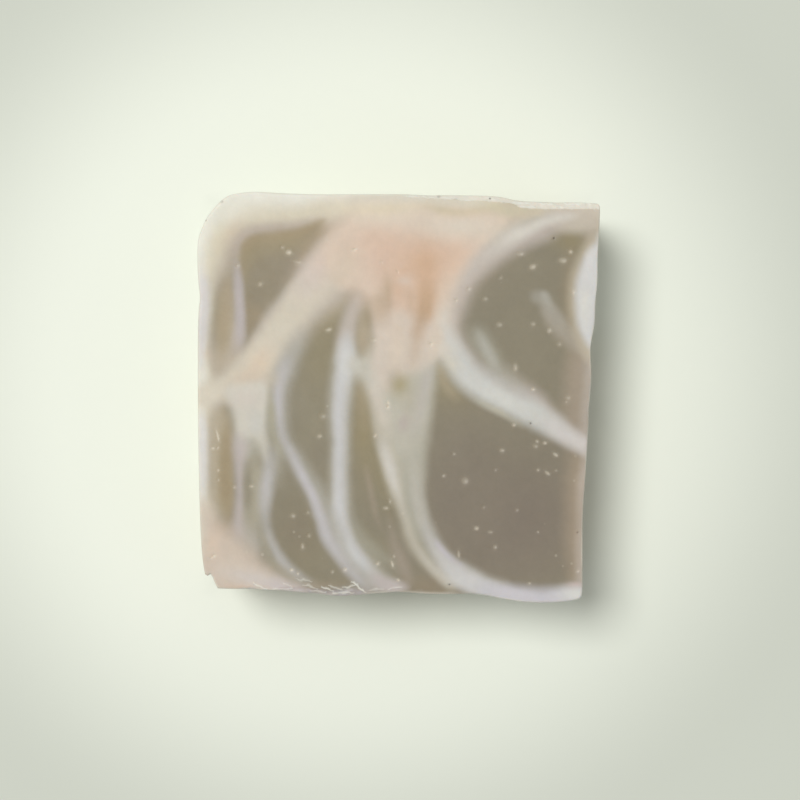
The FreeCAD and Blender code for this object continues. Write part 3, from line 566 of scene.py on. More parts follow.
    p.vein({"umber": 5, "moss": 4, "cream": 1}, [
        (223, 392, 2, 5, 0, 7), (224, 407, 3, 6, .35, 8), (225, 424, 5.2, 6.5, .66, 8), (225, 442, 7.5, 6, .9, 8), (225, 470, 8, 6, .92, 8), (225.5, 496, 7.5, 6, .9, 8),
        (227, 513, 5.5, 6, .6, 7), (228, 526, 4, 5, .2, 6), (229, 538, 2, 5, 0)])
    p.vein({"umber": 4, "moss": 2, "olive": 1}, [
        (226, 424, 2, 5, 0), (226, 440, 4, 5, .5), (225.5, 460, 5, 5, .7), (225, 485, 5.5, 5, .75), (226, 505, 4.5, 5, .6), (227.5, 522, 3, 5, 0)])
    p.vein({"lilac": 3, "umber": 2, "cream": 1}, [
        (237, 428, 5, 6, 0), (240, 446, 7, 6, .85), (240, 468, 4.8, 4.8, .88), (239.5, 492, 4.3, 4.5, .8), (239, 514, 5.5, 5, .9), (239, 534, 8, 7, .8), (240, 552, 6, 8, 0)])
    p.vein({"moss": 1, "ash": 5, "umber": 2}, [(254, 448, 7, 7, 0), (255, 466, 9, 7, .65), (255, 480, 9, 6, .8), (254, 500, 9, 6, .85), (252, 520, 9, 6, .75), (251, 538, 7, 8, .35), (250, 550, 6, 8, 0)])
    p.vein("olive", [(248.5, 462, 2.5, 4, 0), (248.5, 473, 3, 4, .45), (248.5, 484, 3.6, 4, .7), (248.5, 500, 3.6, 4, .6), (248.5, 514, 3, 4, .2), (248.5, 526, 2, 4, 0)])
    p.vein({"lilac": 2, "ash": 3}, [
        (271, 440, 5, 7, 0), (270, 458, 6, 6, .6), (268, 475, 6.8, 5.5, .85), (266, 492, 6.8, 5.5, .9), (264.5, 508, 6, 5, .8), (265, 522, 5, 5, .6),
        (268.5, 537, 4.8, 4.5, .7), (275, 550, 4.8, 4.5, .8), (282.5, 561, 5, 4.5, .85), (292, 571, 4.8, 4.5, .7), (303, 580, 4.5, 4, .5), (316, 587, 4, 4, .2)])
    p.blot({"milk": 1, "lilac": 1}, 266, 485, 4, 16, 0, 0.25)
    p.blot({"ash": 2, "lilac": 2, "cream": 2, "umber": 1}, 252, 542, 11, 18, -12, 0.6)
    # ---- rose corner, lower left -------------------------------------------------------
    p.patch({"blush": 3, "cream": 4, "umber": 1, "lilac": 1}, [
        (190, 510), (205, 504), (218, 521), (232, 532), (248, 548), (261, 562), (280, 576), (300, 590), (300, 604), (200, 604), (186, 560)], 12, .95)
    p.blot({"cream": 2, "blush": 1}, 236, 572, 22, 12, 10, 0.45)
    p.blot({"blush": 1, "umber": 1}, 222, 528, 12, 12, 0, 0.25)
    p.blot({"blush": 2, "butter": 1}, 211, 545, 9, 14, 0, 0.4)
    p.blot({"ash": 1, "cream": 2}, 203, 530, 4, 26, 0, 0.5)
    p.vein({"olive": 2, "umber": 1, "ash": 3}, [(258, 512, 2, 4, 0), (260, 526, 3, 4, .45), (263, 542, 3.4, 4, .65), (269, 556, 3.4, 4, .65), (278, 567, 3, 4, .5), (289, 576, 3, 3.5, .4), (303, 583, 2.5, 3, .2), (316, 587, 2, 3, 0)])
    p.vein({"lilac": 3, "blush": 1, "milk": 1, "umber": 1}, [(258, 585, 3, 5, 0), (275, 585, 6, 5, .7), (292, 590, 6, 5, .75), (315, 595, 5, 4.5, .65), (335, 595.5, 4.5, 4, .6), (360, 594, 4.5, 4, .55), (380, 593, 4, 4, 0)])
    p.vein({"umber": 3, "olive": 2}, [(300, 584, 3, 4, 0), (312, 586, 4, 4, .5), (326, 586, 4, 4, .4), (342, 583, 3, 4, .25), (352, 580, 2, 4, 0)])
    p.blot({"lilac": 4, "milk": 1, "umber": 2}, 330, 592, 44, 6, 0, 0.3)
    p.blot({"lilac": 2, "wax": 2}, 345, 591, 9, 3, -8, 0.5)
    p.blot({"lilac": 2, "milk": 2, "cream": 1}, 256, 579, 34, 9, 12, 0.5)
    p.blot({"blush": 3, "apricot": 1, "umber": 1}, 238, 588.5, 14, 3.6, 0, 0.5)
    p.vein("milk", [(346, 538, 2, 4, 0), (351, 549, 3, 4, .5), (359, 561, 3, 4, .5), (368, 571, 2, 4, 0)])
    # ---- central strands ----------------------------------------------------------------
    p.vein({"cream": 3, "ash": 4, "umber": 2}, [
        (372, 402, 4, 6, 0), (378, 424, 6, 6, .4), (383, 442, 7, 6, .7), (388, 458, 8, 6, .9), (392, 474, 8, 6, .9), (397, 492, 7, 6, .85),
        (403, 509, 6.5, 5.5, .75), (408, 526, 6.5, 5.5, .7), (415, 544, 7, 5.5, .7), (425, 558, 7, 5.5, .75), (438, 571, 7, 5, .75), (452, 583, 7.4, 5, .6)])
    p.vein({"milk": 3, "cream": 4, "lilac": 1}, [
        (380, 430, 3, 6, 0), (384, 448, 5, 5, .6), (388.5, 464, 5.5, 5, .85), (392.5, 478, 5, 5, .85), (398, 492, 4.2, 4.5, .55), (402, 506, 3.5, 4, .3),
        (407, 522, 3, 4, .2), (413, 540, 3, 4, .2), (422, 555, 3.5, 4, .3), (434, 568, 4.2, 4.5, .42), (448, 580, 5, 5, .5)])
    p.blot({"ash": 2, "olive": 1}, 418, 460, 8, 24, 4, 0.4)
    p.vein({"olive": 2, "ash": 3}, [(402, 448, 5, 7, 0), (404, 466, 5, 7, .5), (407, 484, 4.5, 6, .65), (410, 500, 4.2, 5, .75), (413.5, 518, 3.8, 4.5, .8), (418.5, 534, 3.6, 4.5, .75), (425.5, 548, 3.4, 4, .6), (434, 560, 3, 4, .35), (444, 570, 2, 4, 0)])
    p.vein({"milk": 1, "ash": 4, "lilac": 1, "umber": 1}, [
        (416, 432, 6, 8, 0), (414, 452, 5, 7, .15), (414.5, 472, 5.2, 6.5, .4), (417, 492, 6.2, 6, .7), (420.5, 512, 6.6, 6, .8),
        (427, 529, 7, 6, .8), (435, 545.4, 7.8, 6, .84), (446, 561.5, 8.8, 6, .92), (460.5, 574.5, 11, 7, .92), (480, 585.5, 11.8, 7, .95), (500, 591.5, 10.4, 7, .9)])
    p.vein({"milk": 4, "wax": 1, "lilac": 2}, [
        (421, 516, 3, 5, 0), (427, 532, 3.6, 5, .3), (435.5, 548, 4.6, 5, .4), (447.5, 564, 6.8, 6, .58), (464, 579, 9.8, 6, .78), (484, 589, 9.4, 6, .8), (502, 594, 7, 6, .5)])
    p.vein({"milk": 3, "lilac": 4}, [
        (474, 584, 7, 6, 0), (486, 589, 8, 6, .7), (503, 594, 9, 6.5, .95), (524, 597, 9, 7, 1), (546, 598, 9.5, 7, 1), (566, 598, 10.5, 6, 1), (592, 596, 10.5, 6, 1)])
    p.vein({"lilac": 1}, [(434, 536, 2, 3, 0), (439, 544, 2.4, 3, .6), (446, 553, 2.4, 3, .6), (456, 562, 2, 3, .4), (468, 571, 2, 3, 0)])
    p.vein({"lilac": 3, "wax": 1}, [(490, 588, 2, 4, 0), (506, 592, 3, 4, .6), (524, 594, 3, 4, .6), (540, 595, 3, 4, 0)])
    p.blot({"milk": 2, "wax": 2}, 576, 595, 17, 9, 0, 0.85)
    p.blot({"blush": 1, "lilac": 1}, 576, 585, 10, 3.5, 0, 0.6)
    p.blot({"milk": 1, "wax": 1}, 458, 581, 12, 8, 20, 0.15)
    p.vein({"cream": 2, "umber": 1, "lilac": 1}, [(398, 594, 1, 2, 0), (410, 594.5, 2, 2.5, .7), (430, 595, 2.2, 2.5, .75), (450, 594.5, 2, 2.5, .6), (462, 594, 1, 2, 0)])
    # dark soap showing at the top of the lower right patch
    p.vein({"moss": 2, "umber": 3, "cream": 2}, [(438, 360, 3, 5, 0), (441, 371, 4.5, 5, .48), (446, 385, 4, 5, .5), (453, 394, 4, 5, .4), (461, 403, 3, 5, 0)])
    p.blot({"cream": 4, "milk": 1, "blush": 1}, 444, 351, 10, 11, 0, 0.75)
    p.blot({"cream": 3, "butter": 2}, 452, 364, 8, 10, -40, 0.4)
    # spots in the pale middle
    p.blot({"moss": 3, "butter": 1}, 400, 384, 10, 12, 0, 0.95)
    p.blot({"umber": 2, "lilac": 2}, 403.5, 423, 6, 9, 10, 0.7)
    p.vein({"umber": 3, "lilac": 1}, [(366, 462, 2, 3, 0), (368, 478, 2.5, 3.5, .35), (372, 498, 2.5, 3.5, .4), (377, 518, 2, 3.5, .3), (383, 535, 1.5, 3, 0)])
    p.vein({"umber": 2, "lilac": 1}, [(386, 508, 3, 5, 0), (390, 525, 3, 6, .25), (396, 546, 5, 7, .4), (402, 564, 6, 8, .5), (408, 580, 5, 6, .3)])
    p.vein({"ash": 1, "olive": 1}, [(352, 500, 2, 4, 0), (356, 520, 3, 5, .4), (364, 539, 5, 6, .7), (376, 552, 6, 6, .7), (389, 563, 5.5, 6, .5), (400, 576, 3, 5, 0)])
    return p.W


def marbling_at(x, y, depth, d, nx, ny, torn_here, flake_glint_here):
    """Colour shares anywhere in the slice. x, y and depth in mm; d and (nx, ny) are the distance and the way in from the outline."""
    deep = depth / THICK
    # the marbling drifts sideways on its way through the slice, but not out through the side wall
    dx = deep * (2.2 + 3.2 * noise(x, y, depth, 30.0, 71)) + deep * 1.0 * noise(x, y, depth, 11.0, 73) + np.minimum(deep * 6, 1) * 0.5 * noise(x, y, depth, 6.0, 75)
    dy = deep * (-1.6 + 3.2 * noise(x, y, depth, 30.0, 72)) + deep * 1.0 * noise(x, y, depth, 11.0, 74) + np.minimum(deep * 6, 1) * 0.5 * noise(x, y, depth, 6.0, 76)
    wave = np.minimum(deep * 4, 1)
    # noise cells turned off the axes, so that no patch on a wall looks square
    tx, ty, tz = 0.78 * x + 0.3 * y + 0.52 * depth, 0.78 * y - 0.3 * x - 0.52 * depth, 0.75 * depth - 0.42 * x + 0.42 * y
    dx = dx + wave * (2.0 * noise(tx, ty, tz, 8.0, 77) + 0.7 * noise(tx, ty, tz, 3.5, 79))
    dy = dy + wave * (2.0 * noise(tx, ty, tz, 8.0, 78) + 0.7 * noise(tx, ty, tz, 3.5, 80))
    across = dx * nx + dy * ny
    held = 1 - smooth(d / 9.0)
    dx, dy = dx - across * nx * held, dy - across * ny * held
    X, Y = units(x + dx, y + dy)
    W = marbling(X, Y, depth)

    def over(W, colours, c):
        mix = np.zeros(len(NAMES))
        for name, share in colours.items():
            mix[SLOT[name]] = share / sum(colours.values())
        return W * (1 - c[:, None]) + c[:, None] * mix
    # a thin pale skin on the rim, made brighter along the top edge by a painted glint line; patches of pale bloom on
    # the walls
    upper = Y < 420
    on_face = smooth((0.6 - depth) / 0.3)
    painted_glint_top = smooth((X - 285) / 25) * smooth((203 - Y) / 4) * smooth((520 - X) / 30)
    W = over(W, {"wax": 3, "cream": 1}, on_face * (0.50 + 0.2 * noise(x, y, 0 * x, 4.0, 91) + 0.35 * painted_glint_top) * (1 - smooth(d / 0.45)))
    bloom = smooth((noise(tx, ty, tz * 1.3, 9.0, 92) + 0.45 * noise(tx, ty, tz * 1.3, 3.2, 93) + 0.15) / 1.1)
    W = over(W, {"wax": 2, "ash": 2, "cream": 2}, (1 - on_face) * (0.08 + 0.34 * bloom) * (1 - smooth((d - 1.5) / 2.5)))
    W = over(W, {"wax": 6, "cream": 1, "blush": 1}, 0.94 * torn_here * upper)
    W = over(W, {"lilac": 4, "milk": 1, "taupe": 2}, 0.62 * torn_here * ~upper)
    # the flakes along the torn edges are painted near white: a painted glint on each
    return over(W, {"wax": 1}, np.where(upper, 0.9, 0.72) * flake_glint_here)
# <<< marbling

# ---- small bubbles and specks in the cut face -----------------------------------------------------------
# picture units: x, y, radius, how pale, the paleness a painted glint (negative is a dark pit, painted shade), stretch,
# direction of the stretch in degrees
BUBBLES = [
    (288.4, 252.2, 2.5, 1.0, 1.15, 0), (281.8, 247.0, 1.8, .45, 1, 0), (296.9, 261.7, 2.0, .45, 2.0, 8), (259.6, 283.8, 2.3, .55, 1, 0),
    (328.3, 329.4, 1.9, .75, 1.6, -10), (237.5, 265.0, 2.0, .55, 1, 90), (354.0, 249.6, 1.3, .8, 2.4, -18), (373.5, 339.7, 1.8, .5, 1.6, 0),
    (381.5, 262.0, 1.2, .35, 1.6, 60), (397.5, 271.5, 1.2, .4, 2.0, 70), (532.5, 266.6, 2.6, .7, 1.25, -25), (562.7, 260.3, 2.7, .6, 1.4, 0),
    (570.3, 251.6, 1.9, .8, 1, 0), (519.9, 253.7, 2.1, .45, 1.6, 0), (468.3, 288.5, 2.0, .4, 1, 0), (456.0, 300.0, 2.0, .4, 1, 0),
    (484.6, 298.4, 2.1, .35, 1.2, 0), (572.8, 291.7, 1.9, .45, 1.4, 60), (499.0, 324.3, 2.5, .4, 1.2, 0), (532.6, 323.6, 2.1, .4, 1.2, 20),
    (549.0, 330.3, 2.1, .6, 1.2, -60), (558.7, 344.0, 2.4, .3, 1, 0), (515.0, 367.0, 2.2, .5, 1.7, 90), (532.8, 389.2, 1.5, .9, 1.2, 0),
    (430.8, 343.7, 2.0, .6, 1, 0), (499.8, 277.4, 2.2, .2, 1, 0), (513.6, 424.8, 1.8, .7, 1, 0), (536.8, 441.2, 1.6, .6, 1, 0),
    (535.0, 445.8, 2.2, .35, 1.2, 30), (544.6, 442.9, 1.6, .75, 1.2, 0), (555.4, 454.6, 1.6, .8, 1.7, 35), (501.8, 450.2, 1.8, .55, 1.3, 0),
    (453.6, 453.6, 1.7, .3, 1, 0), (494.8, 469.6, 1.8, .15, 1, 0), (443.5, 475.6, 1.4, .5, 1.3, -50), (464.8, 480.6, 3.3, .42, 1, 0),
    (537.9, 469.9, 1.4, .6, 1, 0), (547.3, 473.0, 1.5, .7, 1.9, 40), (555.8, 470.3, 1.4, .3, 1, 0), (483.2, 506.8, 1.9, .15, 1, 0),
    (516.5, 509.8, 1.8, .25, 1, 0), (476.3, 528.2, 2.0, .75, 1.1, 0), (490.0, 531.9, 1.6, .35, 1.6, 0), (537.9, 531.9, 1.1, .5, 1, 0),
    (494.8, 546.9, 2.0, .45, 1, 0), (458.6, 554.2, 1.2, .6, 3.0, 85), (529.2, 583.2, 1.2, .5, 1.3, 0), (577.4, 570.8, 1.9, .4, 1, 0),
    (217.4, 435.5, 1.15, 1.0, 5.0, 78), (212.4, 448.0, 1.3, .9, 1.5, 0), (217.6, 447.5, 1.2, .6, 1.4, -50), (217.8, 470.0, 1.5, .7, 1, 0),
    (218.0, 479.7, 1.4, .4, 1, 0), (233.9, 486.8, 1.6, .5, 1, 0), (251.0, 486.0, 1.5, .6, 1.5, 0), (319.2, 435.8, 1.8, .6, 1.3, 0),
    (321.9, 415.4, 3.0, .25, 1.2, 0), (374.8, 435.5, 1.5, .7, 1.4, -60), (292.4, 515.2, 2.4, .4, 1.1, 0), (307.2, 512.2, 2.0, .3, 1, 0),
    (308.5, 535.3, 2.0, .35, 1, 0), (302.2, 546.0, 1.7, .6, 1.5, 90), (213.6, 555.6, 1.6, 1.0, 1.2, -30), (211.0, 557.6, 1.3, .6, 1, 0),
    (291.4, 569.8, 1.5, 1.0, 1.3, 0), (297.8, 573.6, 1.3, .8, 1, 0), (332.0, 571.4, 1.8, .4, 1, 0), (344.7, 569.4, 1.6, .8, 1.3, -20),
    (385.5, 507.8, 1.7, .6, 1.5, 0), (389.5, 501.0, 1.4, .4, 1.6, 80), (377.5, 563.4, 1.5, .7, 1.4, -50), (392.2, 564.0, 1.3, .95, 2.4, 75),
    (393.6, 556.0, 1.6, .4, 1, 0), (387.8, 402.2, 1.5, 1.0, 1.6, 60), (387.6, 407.0, 1.5, .9, 1.5, -50), (398.0, 579.9, 1.3, .9, 1.3, 30),
    (553.9, 238.2, 1.1, -.65, 1, 0), (530.8, 423.4, 1.0, -.6, 1.2, 60), (490.2, 198.4, 1.0, -.75, 1, 0), (449.6, 584.6, 0.9, -.65, 1.2, 0),
    (222.0, 201.6, 1.2, -.35, 1.3, 0), (205.6, 220.3, 1.0, -.5, 1, 0), (577.8, 532.6, 1.1, -.35, 1, 0), (439.0, 196.4, 1.3, -.4, 1.5, 0),
    (567.6, 397.5, 2.2, .35, 1.2, 0), (566.0, 401.6, 1.6, .3, 1, 0)]

# thin pale flakes left by the cut, along both torn edges, their paleness a painted glint: from, to, half width, how
# pale
FLAKE_GLINTS = [
    (253.3, 583.3, 266.7, 589.6, 0.8, .75), (295.0, 578.3, 311.7, 582.3, 0.7, .45), (321.7, 586.8, 333.3, 591.6, 0.8, .85),
    (333.0, 593.4, 354.0, 592.6, 0.8, .8), (351.7, 581.7, 364.7, 592.0, 0.8, .95), (343.3, 587.7, 356.7, 585.7, 0.7, .7),
    (328.3, 585.0, 343.3, 590.6, 0.7, .6), (273.3, 589.4, 293.3, 588.6, 0.7, .6), (303.0, 584.6, 318.0, 588.6, 0.6, .55),
    (283.0, 582.4, 292.0, 586.4, 0.6, .4), (311.0, 590.4, 326.0, 592.4, 0.7, .6), (369.0, 590.2, 384.0, 588.6, 0.6, .35),
    (388.0, 589.4, 401.7, 587.7, 0.6, .45), (240.0, 588.6, 252.0, 590.4, 0.6, .5),
    (406.5, 195.0, 415.6, 196.4, 1.3, 1.0), (421.0, 197.0, 436.0, 198.0, 0.7, .6), (440.0, 197.4, 456.0, 198.6, 0.7, .65), (480.0, 197.2, 500.0, 199.2, 0.8, .6),
    (513.6, 202.7, 530.0, 202.5, 1.0, 1.0), (518.0, 205.7, 536.0, 207.2, 0.9, .8), (537.0, 203.0, 547.0, 203.0, 0.6, .6),
    (546.5, 203.4, 553.0, 204.4, 1.3, 1.0), (564.0, 202.9, 592.0, 203.3, 0.9, .95), (556.0, 206.8, 575.0, 206.6, 0.5, .5),
    (460.0, 200.0, 474.0, 200.6, 0.5, .4)]

RIM = 0.34                      # rounding of the upper rim
FOOT = 0.36                     # rounding of the lower rim


def torn(x, y, arc):
    """How far a rough torn strip along the rim has dropped below the face, and how torn each spot is."""
    X, Y = units(x, y)
    # the strip along the upper edge, right half: the line where the face breaks off, in picture units
    lx = np.array([402, 408, 414, 420, 428, 436, 441, 447, 454, 460, 466, 473, 480, 490, 500, 508, 512, 516, 520, 526, 533, 541, 550, 560, 572, 586, 604], float)
    ly = np.array([190, 196.8, 197.8, 197.6, 198.2, 199.0, 199.4, 199.4, 198.8, 200.6, 201.4, 200.8, 201.2, 201.6, 202.4, 203.2, 204.2, 205.6, 207.6, 208.6, 209.0, 209.2, 209.4, 209.3, 209.3, 209.3, 209.4], float)
    line = np.interp(X, lx, ly)
    line = line + 0.5 * noise(X, Y, 0 * X, 5.0, 31) + 0.25 * noise(X, Y, 0 * X, 2.2, 32)
    out = (line - Y) * UNIT                           # mm past the line, towards the rim
    on = (X > 402) & (Y < 300) & (out > 0)
    step = 0.10 * smooth(out / 0.10)
    slope = 0.34 * np.clip(out, 0, 2.5)
    rough = 0.07 * noise(X, Y, 0 * X, 4.0, 33) + 0.035 * noise(X, Y, 0 * X, 1.8, 34)
    drop = np.where(on, step + slope + rough * smooth(out / 0.3), 0.0)
    much = np.where(on, smooth(out / 0.16), 0.0)
    # crumbs along the lower edge
    cx = np.array([222, 236, 246, 252, 258, 268, 282, 292, 304, 316, 330, 342, 352, 360, 368, 376, 390, 402, 414, 430], float)
    cy = np.array([596, 589.6, 588.2, 586.4, 589.6, 590.6, 588.0, 587.0, 588.6, 587.6, 590.2, 589.0, 587.6, 589.0, 593.6, 594.6, 592.8, 591.4, 595, 598], float)
    edge = np.interp(X, cx, cy) + 0.8 * noise(X, Y, 0 * X, 6.0, 35) + 0.4 * noise(X, Y, 0 * X, 2.4, 36)
    out2 = (Y - edge) * UNIT
    on2 = (X > 224) & (X < 428) & (out2 > 0)
    rough2 = 0.16 * noise(X, Y, 0 * X, 6.5, 37) + 0.08 * noise(X, Y, 0 * X, 2.8, 38)
    drop2 = np.where(on2, 0.06 * smooth(out2 / 0.1) + 0.30 * np.clip(out2, 0, 2.0) + rough2 * smooth(out2 / 0.35), 0.0)
    flaky = smooth((noise(X, Y, 0 * X, 5.0, 39) + 0.5 * noise(X, Y, 0 * X, 2.2, 40) + 0.15) / 0.7)
    much2 = np.where(on2, (0.25 + 0.6 * flaky) * smooth(out2 / 0.3), 0.0)
    return np.clip(drop, 0, 1.4) + np.clip(drop2, 0, 1.2), np.maximum(much, much2)


def face_height(x, y, d, arc):
    """Height of the upper face. d is the distance in from the outline."""
    X, Y = units(x, y)
    r = RIM * (1 + 0.35 * noise(x, y, 0 * x, 7.0, 41))
    e = np.clip(d, 0, r)
    z = THICK - 0.02 - (r - np.sqrt(np.maximum(r * r - (r - e) ** 2, 0)))
    z = z - 0.05 * (1 + noise(x, y, 0 * x, 22.0, 42)) - 0.012 * (1 + noise(x, y, 0 * x, 5.0, 43))
    drop, much = torn(x, y, arc)
    z = z - drop
    pale = np.zeros_like(x)
    dark = np.zeros_like(x)
    flake_glint = np.zeros_like(x)
    for bx, by, br, tone, stretch, turn in BUBBLES:
        c, s = math.cos(math.radians(turn)), math.sin(math.radians(turn))
        dx, dy = X - bx, Y - by
        u, v = (dx * c + dy * s) / stretch, dy * c - dx * s
        q = np.sqrt(u * u + v * v) / br
        near = q < 1.6
        depth = (0.10 + 0.10 * abs(tone)) * min(1.0, br / 2) * (1.8 if tone < 0 else 1)
        z = z - np.where(near, depth * np.clip(1 - (q / 1.05) ** 2, 0, 1) ** 1.5, 0)
        glow = np.where(near, np.clip(1 - (q / 1.35) ** 2, 0, 1), 0)
        # a pale bubble gets a painted glint, a dark pit painted shade
        if tone > 0:
            pale = np.maximum(pale, tone * glow)
        else:
            dark = np.maximum(dark, -tone * glow)
    # the flakes bend a little, and are widest halfway; each is raised a little and painted pale as a glint
    FX, FY = X + 0.8 * noise(X, Y, 0 * X, 5.0, 44), Y + 0.9 * noise(X, Y, 0 * X, 4.0, 45)
    for ax, ay, bx, by, w, tone in FLAKE_GLINTS:
        t = np.clip(((FX - ax) * (bx - ax) + (FY - ay) * (by - ay)) / ((bx - ax) ** 2 + (by - ay) ** 2), 0, 1)
        q = np.hypot(FX - ax - t * (bx - ax), FY - ay - t * (by - ay)) / (w * (0.45 + 0.75 * np.sin(math.pi * t)) + 0.2)
        ridge = np.clip(1 - q * q, 0, 1)
        z = z + 0.06 * ridge
        flake_glint = np.maximum(flake_glint, tone * np.clip(1.4 * ridge, 0, 1))
    pale = np.where(flake_glint > 0, pale * (1 - flake_glint), pale)
    return np.minimum(z, THICK - 0.006), much, pale, dark, flake_glint


def wall_relief(x, y, z, arc):
    """How far the side wall lies inside the outline, at height z."""
    up = smooth((THICK - 0.5 - z) / 3.0)
    broad = 0.16 * (1 + noise(x, y, z, 13.0, 51)) + 0.07 * (1 + noise(x, y, z, 5.0, 52))
    fine = 0.018 * (1 + noise(x, y, z * 0.5, 1.6, 53))
    return up * (broad + fine)


# ---- points of the upper face -----------------------------------------------------------------------------
def hexgrid(step):
    lo, hi = LOOP.min(0) - 1, LOOP.max(0) + 1
    ys = np.arange(lo[1], hi[1], step * math.sqrt(3) / 2)
    xs = np.arange(lo[0], hi[0], step)
    X, Y = np.meshgrid(xs, ys)
    X = X + (np.arange(len(ys)) % 2)[:, None] * step / 2
    return np.stack([X.ravel(), Y.ravel()], 1)


def bubble_rings():
    """Extra points round each bubble, and a test for points that they take the place of."""
    rings, places = [], []
    for bx, by, br, tone, stretch, turn in BUBBLES:
        cx, cy = px(bx, by)
        t = math.radians(-turn)
        r = br * UNIT
        for f, n in ((0.0, 1), (0.42, 7), (0.85, 12), (1.25, 14)):
            for k in range(n):
                a = 2 * math.pi * (k + 0.5 * (n % 2)) / n
                u, v = f * r * stretch * math.cos(a), f * r * math.sin(a)
                rings.append((cx + u * math.cos(t) - v * math.sin(t), cy + u * math.sin(t) + v * math.cos(t)))
        places.append((cx, cy, r, stretch, t))
    return np.array(rings), places


def flake_points():
    out = []
    for ax, ay, bx, by, w, tone in FLAKE_GLINTS:
        long = math.hypot(bx - ax, by - ay)
        nx, ny = -(by - ay) / long, (bx - ax) / long
        n = int(long / 0.8) + 2
        for k in range(n):
            t = k / (n - 1)
            for o in (-1.15, -0.5, 0.0, 0.5, 1.15):
                o = o * w * (0.45 + 0.55 * math.sin(math.pi * t))
                out.append(px(ax + t * (bx - ax) + o * nx, ay + t * (by - ay) + o * ny))
    return np.array(out)


def without_bubbles(P, places, grow):
    keep = np.ones(len(P), bool)
    for cx, cy, r, stretch, t in places:
        dx, dy = P[:, 0] - cx, P[:, 1] - cy
        u = (dx * math.cos(t) + dy * math.sin(t)) / stretch
        v = -dx * math.sin(t) + dy * math.cos(t)
        keep &= u * u + v * v > (r * grow) ** 2
    return keep


def thin(P, least):
    """Drops points closer than this to an earlier one."""
    cells = {}
    keep = []
    for i, (x, y) in enumerate(P):
        cx, cy = int(math.floor(x / least)), int(math.floor(y / least))
        ok = True
        for a in (cx - 1, cx, cx + 1):
            for b in (cy - 1, cy, cy + 1):
                for j in cells.get((a, b), ()):
                    if (P[j][0] - x) ** 2 + (P[j][1] - y) ** 2 < least * least:
                        ok = False
        if ok:
            cells.setdefault((cx, cy), []).append(i)
            keep.append(i)
    return P[keep]


def rim_rings(loop, depths):
    """Points at set distances in from the outline, without those that an inner corner folds over."""
    n = inward(loop)
    out = []
    for d in depths:
        P = loop + n * d
        dist, _ = to_loop(P, loop)
        out.append(P[dist > d * 0.96])
    return np.vstack(out)


def triangulate(border, inner, least):
    """Triangles over a closed border and the points inside it."""
    pts = np.vstack([border, inner])
    n = len(border)
    v, e, f, ov, oe, of_ = delaunay_2d_cdt([Vector(p) for p in pts], [(i, (i + 1) % n) for i in range(n)], [], 1, 1e-7)
    order = [o[0] if o else -1 for o in ov]
    if len(v) != len(pts) or order != list(range(len(pts))):
        raise RuntimeError(f"the triangulation changed the points: {len(v)} for {len(pts)}")
    return np.array([list(t) for t in f], np.int64)


def upward(P, F, up=True):
    a, b, c = P[F[:, 0]], P[F[:, 1]], P[F[:, 2]]
    turn = (b[:, 0] - a[:, 0]) * (c[:, 1] - a[:, 1]) - (b[:, 1] - a[:, 1]) * (c[:, 0] - a[:, 0])
    flip = (turn < 0) if up else (turn > 0)
    F = F.copy()
    F[flip] = F[flip][:, ::-1]
    return F



def upper_points():
    """Points of the upper face: rings round the bubbles, rings along the rim, a fine field on the torn strips and a coarser one elsewhere."""
    rings, places = bubble_rings()
    dist, _ = to_loop(rings, LOOP)
    rings = rings[dist > 0.06]
    flakes = flake_points()
    dist, _ = to_loop(flakes, LOOP)
    flakes = flakes[dist > 0.06]
    rings = np.vstack([rings, flakes])
    rim = rim_rings(LOOP, (0.05, 0.13, 0.24, 0.40))
    rim = rim[without_bubbles(rim, places, 1.35)]

    def in_strips(P):
        X, Y = units(P[:, 0], P[:, 1])
        return ((X > 402) & (Y < 210.5)) | ((X > 224) & (X < 416) & (Y > 584.5))

    fine = hexgrid(0.21)
    fine = fine[in_strips(fine)]
    dist, _ = to_loop(fine, LOOP)
    fine = fine[dist > 0.5]
    fine = fine[without_bubbles(fine, places, 1.35)]
    grid = hexgrid(0.38)
    grid = grid[~in_strips(grid)]
    dist, _ = to_loop(grid, LOOP)
    grid = grid[dist > 0.60]
    grid = grid[without_bubbles(grid, places, 1.75)]
    return thin(np.vstack([rings, rim, fine, grid]), 0.05)


def spots(rng, count, width, height, least, most):
    """Bubbles strewn over a width by height: place, radius and how pale each is, the paleness a painted glint."""
    return [(rng.uniform(1.5, width - 1.5), rng.uniform(1.5, height - 1.5), rng.uniform(least, most) ** 1.0,
             rng.uniform(0.3, 0.95)) for _ in range(count)]


def spot_rings(found):
    out = []
    for x, y, r, tone in found:
        for f, n in ((0.0, 1), (0.45, 6), (0.9, 10), (1.3, 12)):
            for k in range(n):
                a = 2 * math.pi * (k + 0.5 * (n % 2)) / n
                out.append((x + f * r * math.cos(a), y + f * r * math.sin(a)))
    return np.array(out)


def spot_dents(u, v, found):
    """Depth of the dents at (u, v), and how pale each is, the paleness a painted glint."""
    depth, pale = np.zeros_like(u), np.zeros_like(u)
    for x, y, r, tone in found:
        q = np.sqrt((u - x) ** 2 + (v - y) ** 2) / r
        depth += 0.22 * r * np.clip(1 - (q / 1.05) ** 2, 0, 1) ** 1.5
        pale = np.maximum(pale, tone * np.clip(1 - (q / 1.3) ** 2, 0, 1))
    return depth, pale


rng = np.random.default_rng(11)

# upper face
UP = np.vstack([LOOP, upper_points()])
up_d, up_arc = to_loop(UP, LOOP)
up_d[:NL] = 0.0
up_z, up_torn, up_pale, up_dark, up_flake_glint = face_height(UP[:, 0], UP[:, 1], up_d, up_arc)
up_F = upward(UP, triangulate(UP[:NL], UP[NL:], 0.05))

